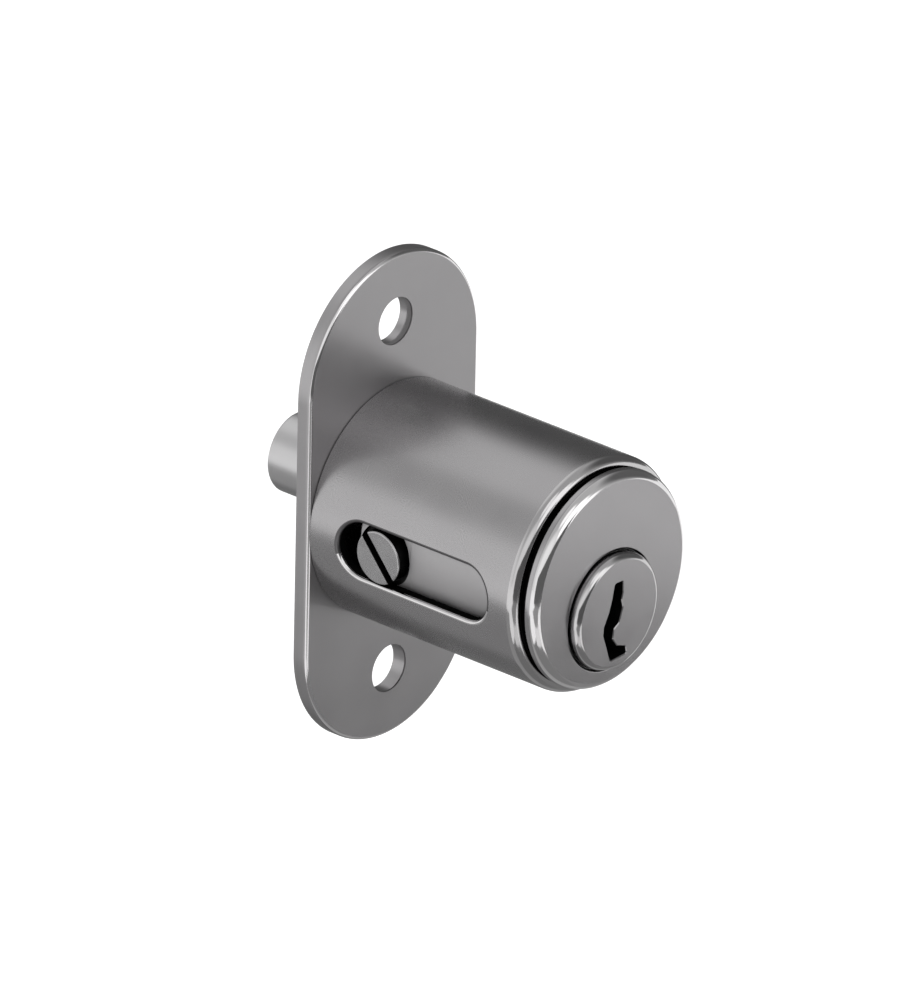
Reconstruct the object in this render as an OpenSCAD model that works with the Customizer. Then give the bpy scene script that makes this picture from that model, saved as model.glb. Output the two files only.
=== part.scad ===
// Push button cabinet lock: a key-operated plunger in a flanged housing throws a round bolt.
//
// Shapes are drawn on the lock's own axis: x to the right, y up and z forward, with z = 0 on
// the mounting face. placed() then turns them so that the button faces -Y and +Z is up.
// Everything is drawn with the button pushed in and the bolt thrown.

/* [Mounting plate] */
// How far the plate's straight sides stand out beyond the housing
plate_margin = 0.2; // [0:0.1:4]
// Height of the oblong plate, over its round ends
plate_height = 47; // [45:0.5:60]
// Thickness of the plate
plate_thickness = 1.5; // [0.8:0.1:2]
// Radius of the rolled front edge
plate_edge_round = 0.3; // [0.2:0.05:0.5]
// Distance between the two screw holes
hole_spacing = 34; // [33:0.5:36]
// Diameter of the screw holes
hole_diameter = 4.5; // [3.5:0.1:5]
// Width of the broken edge round each screw hole
hole_break = 0.15; // [0.05:0.05:0.3]

/* [Housing] */
// Outer diameter of the housing
housing_diameter = 22; // [21.8:0.1:22.4]
// Distance from the mounting face to the front rim
housing_length = 25.6; // [25.6:0.1:30]
// Wall thickness of the housing
housing_wall = 1.15; // [1.05:0.05:1.25]
// Thickness of the housing's rear wall
rear_wall = 1.5; // [1.2:0.1:1.6]
// Radius of the rim's outer edge
rim_round = 0.8; // [0.2:0.05:0.85]
// Diameter of the spigot that is staked into the plate
spigot_diameter = 14; // [12:0.5:16]
// Width of the staked flare at the back of the spigot
stake_flare = 0.4; // [0.2:0.05:0.5]

/* [Guide slot and screw] */
// Width of the slot in the housing's side
slot_width = 5.3; // [5.2:0.05:5.8]
// Length of the slot over its round ends
slot_length = 17.5; // [17:0.5:18]
// Distance from the mounting face to the slot's rear end
slot_start = 4.8; // [4.8:0.1:5.3]
// Gap behind the screw's head when the button is in
overtravel = 2; // [1.5:0.1:2.1]
// Diameter of the guide screw's head
screw_head_diameter = 5; // [4.6:0.1:5]
// Height of the guide screw's head
screw_head_height = 1.5; // [1:0.1:1.5]
// Diameter of the guide screw's thread
screw_thread_diameter = 3; // [2.5:0.1:3]
// Width of the screwdriver slot
driver_slot_width = 0.8; // [0.5:0.05:1]
// Lean of the screwdriver slot from upright
driver_slot_angle = 40; // [0:5:90]
// Depth of the spot face that the screw's head sits on
spot_face_depth = 0.55; // [0.5:0.05:0.7]
// Radius of the spot face
spot_face_radius = 2.95; // [2.8:0.05:3.2]

/* [Button] */
// Diameter of the button's head
button_diameter = 20.4; // [20:0.1:21]
// Thickness of the button's head
button_thickness = 1.25; // [1.1:0.05:2]
// Radius of the head's polished edge
button_edge_round = 0.9; // [0.4:0.1:1]
// Gap between the rim and the head when the button is in
button_gap = 0.55; // [0.5:0.05:1.2]

/* [Key plug] */
// How far the plug's centre lies below the lock's axis
plug_drop = 2.75; // [2.7:0.05:3]
// Diameter of the plug
plug_diameter = 9.8; // [9.6:0.1:10]
// Diameter of the plug's head
plug_head_diameter = 11; // [10.7:0.1:11.2]
// How far the plug stands out of the button
plug_proud = 0.95; // [0.5:0.05:1.5]
// Radius of the plug head's edge
plug_edge_round = 0.45; // [0.2:0.05:0.6]
// Width of the ring-shaped recess round the plug's head
plug_recess_width = 0.45; // [0.2:0.05:0.6]
// Depth of that recess
plug_recess_depth = 0.5; // [0.3:0.05:0.7]
// Width of the keyway's upper part
keyway_width = 1.1; // [0.9:0.05:1.2]
// Quarter turn or less that the key makes
key_turn = 90; // [60:5:90]

/* [Pin tumblers] */
// Number of pin stacks
pin_count = 5; // [3:1:5]
// Difference between two depths of cut on the key
cut_step = 0.3; // [0.2:0.02:0.32]
// Diameter of the pins
pin_diameter = 1.8; // [1.6:0.1:1.8]
// Distance between neighbouring pins
pin_pitch = 2.2; // [2.1:0.05:2.4]
// Length of the driver pins
driver_length = 2.6; // [2.2:0.1:3]
// Thickness of the strip that closes the chambers
cover_thickness = 0.9; // [0.7:0.1:1.1]
// Width of that strip
cover_width = 3; // [2.6:0.1:3.6]

/* [Bolt and return spring] */
// Diameter of the bolt
bolt_diameter = 7.6; // [7:0.1:8.4]
// How far the bolt stands out of the mounting face when thrown
bolt_throw = 10.2; // [8:0.1:10.4]
// How far the bolt's centre lies above the lock's axis
bolt_rise = 0.6; // [0:0.1:0.7]
// Width of the bevel at the bolt's tip
bolt_tip_bevel = 0.4; // [0.1:0.1:1]
// How much thinner the bolt's shank is, in radius, than the end that leaves the lock
bolt_relief = 0.05; // [0.02:0.01:0.05]
// Depth of the spring's pocket in the carrier
pocket_depth = 2.4; // [2.2:0.1:2.6]
// Mean diameter of the return spring
return_spring_diameter = 10.4; // [9.6:0.1:10.8]
// Wire diameter of the return spring
return_spring_wire = 0.7; // [0.5:0.05:0.7]
// Turns of the return spring
return_spring_turns = 4; // [3:0.5:4]

/* [Latch] */
// Width of the latch's body
latch_width = 7.2; // [6.8:0.1:7.4]
// Width of the latch's nose
latch_nose_width = 4.4; // [3.6:0.1:4.6]
// Thickness of the latch
latch_thickness = 1.6; // [1.4:0.1:1.7]
// How far the nose goes out into the housing's window when the lock is locked
latch_reach = 1.2; // [0.8:0.1:1.3]
// Free play between the drive pin and the latch's eye
latch_play = 0.1; // [0.08:0.01:0.15]
// Distance of the plug's drive pin from the plug's centre
drive_pin_offset = 1.3; // [1.1:0.05:1.4]
// Diameter of the drive pin
drive_pin_diameter = 1.6; // [1.2:0.1:1.6]

/* [Fits] */
// Clearance all round the plunger in its bore
slide_clearance = 0.1; // [0.05:0.01:0.12]
// Clearance all round the bolt and the plug
turn_clearance = 0.05; // [0.03:0.01:0.08]
// Clearance round the pins and small pieces
small_clearance = 0.05; // [0.03:0.01:0.06]
// Gap between pieces that are pressed, riveted or screwed together
fixed_fit = 0.02; // [0.01:0.01:0.03]

/* [Hidden] */
key_cuts = [2, 4, 3, 5, 2];     // depth numbers of the key's cuts, from the front
pin_drops = [for (i = [0 : pin_count - 1]) cut_step * key_cuts[i]];
function numbered(name) = [for (i = [1 : pin_count]) str(name, i)];
$fn = 96;
past = 1;                       // how far a cut runs past the face it opens

// Plate, housing and slot
plate_width = housing_diameter + 2 * plate_margin;
housing_r = housing_diameter / 2;
bore_r = housing_r - housing_wall;
rear_seat = plate_thickness + rear_wall;
spigot_r = spigot_diameter / 2;
slot_end = slot_start + slot_length;
bore_lead = 0.25;               // bevel inside the rim

// Plunger
plunger_r = bore_r - slide_clearance;
head_under = housing_length + button_gap;
face = head_under + button_thickness;
screw_head_r = screw_head_diameter / 2;
screw_z = slot_start + overtravel + screw_head_r;
carrier_margin = 0.05;          // of the carrier beyond the spot face
carrier_rear = screw_z - spot_face_radius - carrier_margin;
joint = screw_z + spot_face_radius + carrier_margin;
spot_floor = plunger_r - spot_face_depth;
thread_length = 2.6;
thread_end = 0.3;               // of the hole beyond the thread

// Plug
plug_r = plug_diameter / 2;
plug_bore_r = plug_r + turn_clearance;
plug_head_r = plug_head_diameter / 2;
plug_seat_r = plug_head_r + turn_clearance;
plug_recess_r = plug_head_r + turn_clearance + plug_recess_width;
plug_head_under = face - plug_recess_depth - 0.8;
plug_front = face + plug_proud;
plug_rear = joint + 0.1;
clip_thickness = 0.5;
clip_depth = 0.6;               // how deep its groove is cut
clip_lip = 0.4;                 // what is left of the plug behind the groove
clip_r = plug_r + 1;
clip_room = 0.2;                // round the clip in its recess
clip_mouth = 3;                 // width of its open end
clip_z = plug_rear + clip_lip + small_clearance;
clip_seat = clip_z + clip_thickness + small_clearance;
stop_pin_r = 0.5;
stop_pin_length = 2.3;
stop_reach = plug_r + 0.7;      // how far from the plug's centre the stop pin ends
stop_z = clip_seat + small_clearance + stop_pin_r;
stop_side = key_turn / 2;       // angle of the stop pin at rest, above 3 o'clock

// Pins
pin_r = pin_diameter / 2;
chamber_r = pin_r + small_clearance;
last_pin_z = stop_z + 1;
function pin_z(i) = last_pin_z + (pin_count - 1 - i) * pin_pitch;
keyway_end = last_pin_z - chamber_r;
shear_gap = 0.02;               // between the pins and the round of the plug or its bore
// The flat tops of the key pins stay inside the plug's round, the drivers outside the bore.
shear_low = sqrt(plug_r * plug_r - chamber_r * chamber_r) - plug_drop - shear_gap;
shear_high = plug_bore_r - plug_drop + shear_gap;
pin_floor = 0.15 - plug_drop;   // where a dropped key pin's tip rests
cover_floor = sqrt(plunger_r * plunger_r - pow(cover_width / 2, 2)) - cover_thickness;
pin_spring_wire = 0.25;
pin_spring_turns = 4;

// Bolt, carrier and spring
bolt_r = bolt_diameter / 2;
bolt_end_start = 0.3;           // how far behind the mounting face the full diameter starts
bolt_bore_r = bolt_r + turn_clearance;
pocket_floor = carrier_rear + pocket_depth;
pocket_r = (return_spring_diameter + return_spring_wire) / 2 + 0.35;
neck_r = bolt_r * 0.6;
neck_flare = 0.6;
carrier_screw_angle = 30;       // above 3 o'clock and 9 o'clock
carrier_screw_r = 0.8;
carrier_screw_head_r = 1.3;
carrier_screw_wall = 0.35;      // left outside the head's counterbore
carrier_screw_place = plunger_r - carrier_screw_wall - carrier_screw_head_r;
carrier_screw_head = 1.1;
carrier_screw_grip = 4.5;       // how far the thread goes into the barrel

// Latch
latch_side = 0.1;               // clearance in front of and behind the latch
latch_floor = joint - latch_thickness - 2 * latch_side;
latch_inset = 0.08;             // of the nose's corners inside the plunger's round
latch_nose_length = 2.1;
// The nose is drawn level with the plunger, which is latch_reach further in than when locked.
latch_flush = -sqrt(pow(plunger_r - latch_inset, 2) - pow(latch_nose_width / 2, 2));
latch_shoulder = latch_flush + latch_nose_length;
latch_top = 0.4;
drive_pin_r = drive_pin_diameter / 2;
drive_low = -plug_drop - drive_pin_offset * sin(key_turn / 2);
latch_lift = 2 * drive_pin_offset * sin(key_turn / 2);
latch_eye_low = drive_low - drive_pin_r - latch_play - latch_reach;
latch_eye_high = drive_low + drive_pin_r + latch_play;
latch_eye_width = 2 * (drive_pin_offset + drive_pin_r + small_clearance);
latch_spring_diameter = 1.4;
latch_spring_wire = 0.3;
latch_spring_turns = 5;
latch_spring_length = 4.4;
latch_spring_room = 0.3;        // round the spring in its channel

nickel = [0.66, 0.65, 0.66];
bright_nickel = [0.75, 0.74, 0.75];
zinc = [0.60, 0.61, 0.63];
steel = [0.70, 0.70, 0.71];
spring_steel = [0.45, 0.45, 0.47];
brass = [0.78, 0.62, 0.34];

// Turns the lock's own axes into the part's axes.
module placed() rotate([90, 0, 0]) children();

// Stands a shape drawn along z on a spot of the lock, pointing up.
module upright(x, y, z) translate([x, y, z]) rotate([-90, 0, 0]) children();

// Turns a shape drawn along z to point out of the lock's left side.
module leftward(z) translate([0, 0, z]) rotate([0, -90, 0]) children();

// Half of a turned part's outline, with its upper outer corner rounded.
module rounded_half(radius, height, round) {
    square([radius - round, height]);
    square([radius, height - round]);
    translate([radius - round, height - round]) circle(round);
}

// A hole with straight sides and round ends, along z.
module long_hole(width, length, depth) {
    half = (length - width) / 2;
    for (end = [-half, half]) translate([end, 0, 0]) cylinder(d = width, h = depth);
    translate([-half, -width / 2, 0]) cube([2 * half, width, depth]);
}

// Least gap between one turn of a coil and the next, measured from point to point.
function coil_gap(mean_diameter, wire, length, turns, rings) =
    let (steps = round(turns * rings),
         path = [for (i = [0 : steps])
             let (turn = 360 * i / rings, mean_r = mean_diameter / 2)
             [mean_r * cos(turn), mean_r * sin(turn), (length - wire) * i / steps]])
    min([for (i = [0 : steps - rings]) for (j = [i + round(rings / 2) : steps])
        norm(path[i] - path[j])]) - wire;

// A helical spring along z, swept as one tube of six sides.
module coil(mean_diameter, wire, length, turns, rings) {
    sides = 6;
    mean_r = mean_diameter / 2;
    wire_r = wire / 2;
    steps = round(turns * rings);
    rise = length - wire;
    lean = atan2(rise / turns, PI * mean_diameter);
    echo(spring_gap = coil_gap(mean_diameter, wire, length, turns, rings));
    function tube_point(i, k) =
        let (turn = 360 * i / rings,
             around = 360 * (k + 0.5) / sides,
             out = mean_r + wire_r * cos(around),
             along = wire_r * sin(around))
        [out * cos(turn) + along * sin(lean) * sin(turn),
         out * sin(turn) - along * sin(lean) * cos(turn),
         wire_r + rise * i / steps + along * cos(lean)];
    points = [for (i = [0 : steps]) for (k = [0 : sides - 1]) tube_point(i, k)];
    walls = [for (i = [0 : steps - 1]) for (k = [0 : sides - 1])
        let (a = i * sides + k, b = i * sides + (k + 1) % sides)
        each [[a, a + sides, b + sides], [a, b + sides, b]]];
    first = [for (k = [1 : sides - 2]) [0, k, k + 1]];
    last = [for (k = [1 : sides - 2]) [steps * sides, steps * sides + k + 1, steps * sides + k]];
    polyhedron(points, concat(walls, first, last));
}

module mounting_plate() color(nickel) difference() {
    union() {
        for (end = [-1, 1])
            translate([0, end * (plate_height - plate_width) / 2, 0])
                rotate_extrude() rounded_half(plate_width / 2, plate_thickness, plate_edge_round);
        rotate([90, 0, 0]) linear_extrude(plate_height - plate_width, center = true)
            for (side = [0, 1]) mirror([side, 0])
                rounded_half(plate_width / 2, plate_thickness, plate_edge_round);
    }
    for (end = [-1, 1]) translate([0, end * hole_spacing / 2, 0]) {
        translate([0, 0, -past]) cylinder(d = hole_diameter, h = plate_thickness + 2 * past);
        translate([0, 0, plate_thickness - hole_break])
            cylinder(h = hole_break, d1 = hole_diameter, d2 = hole_diameter + 2 * hole_break);
    }
    translate([0, 0, -past]) cylinder(r = spigot_r + fixed_fit, h = plate_thickness + 2 * past);
    cylinder(h = stake_flare, r1 = spigot_r + stake_flare + fixed_fit, r2 = spigot_r + fixed_fit);
}

module housing_tube() color(nickel) difference() {
    rotate_extrude() {
        translate([0, plate_thickness])
            rounded_half(housing_r, housing_length - plate_thickness, rim_round);
        polygon([[0, 0], [spigot_r + stake_flare, 0], [spigot_r, stake_flare],
                 [spigot_r, plate_thickness], [0, plate_thickness]]);
    }
    translate([0, 0, rear_seat]) cylinder(r = bore_r, h = housing_length);
    translate([0, 0, housing_length - bore_lead])
        cylinder(h = bore_lead, r1 = bore_r, r2 = bore_r + bore_lead);
    translate([0, bolt_rise, -past]) cylinder(r = bolt_bore_r, h = rear_seat + 2 * past);
    leftward((slot_start + slot_end) / 2) long_hole(slot_width, slot_length, housing_diameter);
    latch_window();
}

// The window at the bottom of the housing that the latch's nose goes into.
module latch_window() {
    width = latch_nose_width + 2 * latch_side;
    translate([-width / 2, -housing_diameter, latch_floor])
        cube([width, housing_diameter, latch_thickness + 2 * latch_side]);
}

module return_spring() color(spring_steel)
    translate([0, bolt_rise, rear_seat + fixed_fit])
        coil(return_spring_diameter, return_spring_wire,
             pocket_floor - rear_seat - 2 * fixed_fit, return_spring_turns, 24);

module at_carrier_screws()
    for (side = [-1, 1]) translate([side * carrier_screw_place * cos(carrier_screw_angle),
                                    carrier_screw_place * sin(carrier_screw_angle), carrier_rear])
        children();

// The button: head, plug bore and pin chambers in one piece.
module plunger_barrel() color(bright_nickel) difference() {
    union() {
        translate([0, 0, joint]) cylinder(r = plunger_r, h = head_under - joint);
        translate([0, 0, head_under]) rotate_extrude()
            rounded_half(button_diameter / 2, button_thickness, button_edge_round);
    }
    translate([0, -plug_drop, 0]) {
        translate([0, 0, joint - past]) cylinder(r = plug_bore_r, h = face);
        translate([0, 0, joint - past])
            cylinder(r = clip_r + clip_room, h = clip_seat - joint + past);
        translate([0, 0, plug_head_under - small_clearance]) cylinder(r = plug_seat_r, h = face);
        translate([0, 0, face - plug_recess_depth]) cylinder(r = plug_recess_r, h = face);
        stop_groove();
    }
    for (i = [0 : pin_count - 1])
        upright(0, 0, pin_z(i)) cylinder(r = chamber_r, h = housing_diameter);
    translate([-cover_width / 2, cover_floor, keyway_end])
        cube([cover_width, housing_diameter, cover_length()]);
    at_carrier_screws() cylinder(r = carrier_screw_r + fixed_fit,
                                 h = joint - carrier_rear + carrier_screw_grip + fixed_fit);
}

// The groove behind the plug's last chamber that its stop pin swings in.
module stop_groove() {
    swing = asin((stop_pin_r + small_clearance) / plug_r);
    rotate([0, 0, -key_turn + stop_side - swing])
        rotate_extrude(angle = key_turn + 2 * swing)
            translate([plug_r - 1, clip_seat - past])
                square([stop_reach - plug_r + 1 + small_clearance,
                        stop_z + stop_pin_r + small_clearance - clip_seat + past]);
}

function cover_length() = pin_z(0) + chamber_r + 0.4 - keyway_end;

module chamber_cover() color(zinc) intersection() {
    cylinder(r = plunger_r, h = face);
    translate([-cover_width / 2 + small_clearance, cover_floor + fixed_fit,
               keyway_end + small_clearance])
        cube([cover_width - 2 * small_clearance, housing_diameter,
              cover_length() - 2 * small_clearance]);
}

// The rear half of the plunger, which carries the bolt, the latch and the guide screw.
module plunger_carrier() color(zinc) difference() {
    translate([0, 0, carrier_rear])
        cylinder(r = plunger_r, h = joint - fixed_fit - carrier_rear);
    translate([0, bolt_rise, carrier_rear - past]) cylinder(r = pocket_r, h = pocket_depth + past);
    translate([0, bolt_rise, 0]) {
        cylinder(r = neck_r + fixed_fit, h = face);
        translate([0, 0, latch_floor - neck_flare])
            cylinder(h = neck_flare, r1 = neck_r + fixed_fit, r2 = neck_r + neck_flare + fixed_fit);
    }
    latch_channel();
    leftward(screw_z) {
        translate([0, 0, spot_floor - thread_length - thread_end])
            cylinder(d = screw_thread_diameter + 2 * fixed_fit, h = housing_diameter);
        translate([0, 0, spot_floor]) cylinder(r = spot_face_radius, h = housing_diameter);
    }
    at_carrier_screws() {
        translate([0, 0, -past]) cylinder(r = carrier_screw_r + fixed_fit, h = face);
        translate([0, 0, -past]) cylinder(r = carrier_screw_head_r + small_clearance,
                                          h = carrier_screw_head + past);
    }
}

// The channel that the latch slides in, open towards the barrel and at the bottom.
module latch_channel() {
    width = latch_width + 2 * small_clearance;
    nose = latch_nose_width + 2 * small_clearance;
    low = latch_shoulder - latch_reach - small_clearance;
    spring = latch_spring_diameter + latch_spring_wire + 2 * latch_spring_room;
    high = latch_top + latch_lift + small_clearance;
    depth = joint - latch_floor + past;
    translate([0, 0, latch_floor]) {
        translate([-width / 2, low, 0]) cube([width, high - low, depth]);
        translate([-nose / 2, -housing_diameter, 0]) cube([nose, housing_diameter, depth]);
        translate([-spring / 2, 0, 0]) cube([spring, latch_top + latch_spring_length, depth]);
    }
}

module latch_slider() color(brass)
    translate([0, 0, latch_floor + latch_side]) difference() {
        union() {
            translate([-latch_width / 2, latch_shoulder, 0])
                cube([latch_width, latch_top - latch_shoulder, latch_thickness]);
            translate([-latch_nose_width / 2, latch_flush, 0])
                cube([latch_nose_width, latch_top - latch_flush, latch_thickness]);
        }
        translate([-latch_eye_width / 2, latch_eye_low, -past])
            cube([latch_eye_width, latch_eye_high - latch_eye_low, latch_thickness + 2 * past]);
    }

module latch_spring() color(spring_steel)
    upright(0, latch_top + fixed_fit, latch_floor + latch_side + latch_thickness / 2)
        coil(latch_spring_diameter, latch_spring_wire,
             latch_spring_length - 2 * fixed_fit, latch_spring_turns, 8);

module carrier_screws() color(steel) at_carrier_screws() difference() {
    union() {
        cylinder(r = carrier_screw_head_r, h = carrier_screw_head - fixed_fit);
        cylinder(r = carrier_screw_r, h = joint - carrier_rear + carrier_screw_grip);
    }
    translate([-carrier_screw_head_r, -0.2, -past])
        cube([2 * carrier_screw_head_r, 0.4, past + 0.5]);
}

// The bolt's shoulder bears on the pocket's floor, and its neck is riveted over in the carrier.
module locking_bolt() color(steel) translate([0, bolt_rise, 0]) rotate_extrude() {
    shoulder = pocket_floor - fixed_fit;
    neck_end = latch_floor - fixed_fit;
    shank_r = bolt_r - bolt_relief;
    polygon([[0, -bolt_throw], [bolt_r - bolt_tip_bevel, -bolt_throw],
             [bolt_r, bolt_tip_bevel - bolt_throw], [bolt_r, -bolt_end_start],
             [shank_r, -bolt_end_start], [shank_r, shoulder], [neck_r, shoulder],
             [neck_r, latch_floor - neck_flare], [neck_r + neck_flare - fixed_fit, neck_end],
             [0, neck_end]]);
}

module guide_screw() color(steel) leftward(screw_z) difference() {
    bevel = 0.15;
    union() {
        translate([0, 0, spot_floor - thread_length])
            cylinder(d = screw_thread_diameter, h = thread_length + 0.5);
        translate([0, 0, spot_floor + fixed_fit]) {
            cylinder(r = screw_head_r, h = screw_head_height - bevel);
            translate([0, 0, screw_head_height - bevel])
                cylinder(h = bevel, r1 = screw_head_r, r2 = screw_head_r - bevel);
        }
    }
    rotate([0, 0, driver_slot_angle])
        translate([-driver_slot_width / 2, -housing_r, spot_floor + screw_head_height / 2])
            cube([driver_slot_width, housing_diameter, housing_r]);
}

// The keyway's outline, from the plug's centre: a narrow upper part for the blade, a side ward
// to the left and a foot at the bottom.
module keyway_outline() polygon([
    [-keyway_width / 2, 2.95], [keyway_width / 2, 2.95], [keyway_width / 2, 1.9],
    [0.35, 1.2], [0.55, 0.4], [0.05, -1.0], [-0.6, -1.4], [-0.75, -2.3], [-0.1, -3.2],
    [1.05, -3.6], [1.15, -4.3], [-1.0, -4.4], [-1.35, -3.3], [-1.95, -1.6],
    [-1.9, -0.8], [-1.25, 0.4], [-0.85, 1.6]]);

module key_plug() color(bright_nickel) translate([0, -plug_drop, 0]) difference() {
    union() {
        translate([0, 0, plug_rear]) cylinder(r = plug_r, h = plug_head_under - plug_rear);
        translate([0, 0, plug_head_under]) rotate_extrude()
            rounded_half(plug_head_r, plug_front - plug_head_under, plug_edge_round);
    }
    translate([0, 0, keyway_end]) linear_extrude(face) keyway_outline();
    for (i = [0 : pin_count - 1])
        upright(0, pin_floor + plug_drop - small_clearance, pin_z(i))
            cylinder(r = chamber_r, h = plug_diameter);
    translate([0, 0, clip_z - small_clearance]) rotate_extrude()
        translate([plug_r - clip_depth, 0])
            square([clip_depth + past, clip_thickness + 2 * small_clearance]);
    at_drive_pin() translate([0, 0, plug_rear - past])
        cylinder(r = drive_pin_r + fixed_fit, h = drive_pin_grip() + past);
    at_stop_pin() cylinder(r = stop_pin_r + fixed_fit, h = plug_r);
}

function drive_pin_grip() = keyway_end - plug_rear - 0.3;

// The drive pin stands on the plug's left, as far below its centre as the key then lifts it.
module at_drive_pin() rotate([0, 0, 180 + key_turn / 2])
    translate([drive_pin_offset, 0, 0]) children();

module drive_pin() color(steel) translate([0, -plug_drop, 0]) at_drive_pin()
    translate([0, 0, latch_floor + latch_side])
        cylinder(r = drive_pin_r, h = plug_rear + drive_pin_grip() - fixed_fit
                                     - latch_floor - latch_side);

module at_stop_pin()
    rotate([0, 0, stop_side]) translate([stop_reach - stop_pin_length, 0, stop_z])
        rotate([0, 90, 0]) children();

module stop_pin() color(steel) translate([0, -plug_drop, 0]) at_stop_pin()
    translate([0, 0, fixed_fit]) cylinder(r = stop_pin_r, h = stop_pin_length - fixed_fit);

module plug_clip() color(spring_steel) translate([0, -plug_drop, clip_z]) difference() {
    cylinder(r = clip_r, h = clip_thickness);
    translate([0, 0, -past])
        cylinder(r = plug_r - clip_depth + fixed_fit, h = clip_thickness + 2 * past);
    translate([-clip_mouth / 2, -plug_diameter, -past])
        cube([clip_mouth, plug_diameter, clip_thickness + 2 * past]);
}

module key_pin(i) color(brass) {
    tip = 0.5;
    low = pin_floor + pin_drops[i];
    upright(0, low, pin_z(i)) {
        cylinder(h = tip, r1 = pin_r * 0.35, r2 = pin_r);
        translate([0, 0, tip]) cylinder(r = pin_r, h = shear_low - low - tip);
    }
}

module driver_pin(i) color(brass) {
    bevel = 0.2;
    upright(0, shear_high, pin_z(i)) {
        cylinder(h = bevel, r1 = pin_r - bevel, r2 = pin_r);
        translate([0, 0, bevel]) cylinder(r = pin_r, h = driver_length - bevel);
    }
}

module pin_spring(i) color(spring_steel)
    upright(0, shear_high + driver_length + fixed_fit, pin_z(i))
        coil(pin_diameter - 0.4, pin_spring_wire,
             cover_floor - shear_high - driver_length - fixed_fit, pin_spring_turns, 8);

placed() mounting_plate();
placed() housing_tube();
placed() return_spring();
placed() plunger_barrel();
placed() plunger_carrier();
placed() carrier_screws();
placed() locking_bolt();
placed() guide_screw();
placed() chamber_cover();
placed() latch_slider();
placed() latch_spring();
placed() key_plug();
placed() plug_clip();
placed() drive_pin();
placed() stop_pin();
for (i = [0 : pin_count - 1]) {
    placed() driver_pin(i);
    placed() key_pin(i);
    placed() pin_spring(i);
}
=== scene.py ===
# %% [markdown]
# Push button cabinet lock
#
# A cylinder lock in a round housing on an oblong plate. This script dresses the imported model:
# it builds fine meshes round the lock's own axis, gives them nickel, steel, brass and zinc
# finishes, and lights them the way a small metal thing is photographed.
#
# The button faces -Y, the bolt points to +Y and +Z is up. "Forward" below is the distance in
# front of the mounting face, so forward = -y. Sizes that the frame knows are read from it.

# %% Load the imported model
import math
from collections import namedtuple

import bmesh
import bpy
import numpy as np
from mathutils import Matrix, Vector


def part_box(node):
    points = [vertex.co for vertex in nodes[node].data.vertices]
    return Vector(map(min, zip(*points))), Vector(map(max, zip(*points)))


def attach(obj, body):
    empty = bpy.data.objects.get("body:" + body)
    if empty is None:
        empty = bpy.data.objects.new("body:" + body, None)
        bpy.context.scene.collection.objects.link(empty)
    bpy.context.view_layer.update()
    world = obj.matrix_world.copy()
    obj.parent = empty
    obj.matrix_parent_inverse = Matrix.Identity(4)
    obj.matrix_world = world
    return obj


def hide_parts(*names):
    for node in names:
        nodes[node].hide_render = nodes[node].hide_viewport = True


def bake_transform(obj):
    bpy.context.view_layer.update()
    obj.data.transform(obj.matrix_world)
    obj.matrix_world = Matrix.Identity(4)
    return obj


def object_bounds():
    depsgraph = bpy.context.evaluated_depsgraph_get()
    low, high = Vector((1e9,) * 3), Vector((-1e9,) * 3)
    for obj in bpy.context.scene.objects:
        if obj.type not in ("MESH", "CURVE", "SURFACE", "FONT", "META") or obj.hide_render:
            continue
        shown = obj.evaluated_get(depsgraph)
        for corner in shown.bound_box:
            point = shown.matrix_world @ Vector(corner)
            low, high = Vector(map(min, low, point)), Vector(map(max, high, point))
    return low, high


MM = 0.001
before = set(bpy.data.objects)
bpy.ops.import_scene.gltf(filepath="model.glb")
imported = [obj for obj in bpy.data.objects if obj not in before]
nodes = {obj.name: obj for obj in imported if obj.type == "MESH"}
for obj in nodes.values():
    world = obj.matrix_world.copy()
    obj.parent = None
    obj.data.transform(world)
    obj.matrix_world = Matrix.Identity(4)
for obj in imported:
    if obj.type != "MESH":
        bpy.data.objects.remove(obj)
cad_low, cad_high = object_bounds()
print("CAD box", [round(v / MM, 2) for v in (cad_high - cad_low)], "mm")

# %% [markdown]
# Small helpers
#
# Some jobs repeat all through the script: putting an object into the scene, adding a node with
# its values and links, turning an edited shape into a mesh, and laying points on a circle or
# faces between rings of points. Each has one short helper.

# %% Write the helpers
def add_object(name, data):
    """A new object with this data in the scene."""
    thing = bpy.data.objects.new(name, data)
    bpy.context.scene.collection.objects.link(thing)
    return thing


def feed(tree, node, inputs):
    """Gives each input of a node its value, or a link when the value is a socket."""
    for key, value in inputs.items():
        if isinstance(value, bpy.types.NodeSocket):
            tree.links.new(value, node.inputs[key])
        else:
            node.inputs[key].default_value = value


def add_node(tree, kind, inputs=None, **settings):
    """A new node with its settings and inputs."""
    node = tree.nodes.new(kind)
    for name, value in settings.items():
        setattr(node, name, value)
    feed(tree, node, inputs or {})
    return node


def math_node(tree, operation, first, second):
    """The result of a math node between two sockets or numbers."""
    return add_node(tree, "ShaderNodeMath", {0: first, 1: second}, operation=operation).outputs[0]


def mesh_from(shape, name):
    """The mesh of an edited shape, which is freed."""
    mesh = bpy.data.meshes.new(name)
    shape.to_mesh(mesh)
    shape.free()
    return mesh


def circle(radius, height, forward, count=96):
    """Points round an axis parallel to Y at this height."""
    return [(radius * math.cos(a), -forward, height + radius * math.sin(a))
            for a in np.arange(count) * math.tau / count]


def skin_faces(rings, count):
    """Quads between neighbouring rings of count points each."""
    return [(r * count + k, r * count + (k + 1) % count,
             (r + 1) * count + (k + 1) % count, (r + 1) * count + k)
            for r in range(rings - 1) for k in range(count)]


print("helpers are ready")

# %% [markdown]
# The camera
#
# A long lens far away gives the flat perspective of a catalogue picture. The camera stands to
# the lock's left and a little above it. The shift of the picture is made by moving the camera
# sideways, not by turning it, so the lens shift stays at zero.

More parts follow.
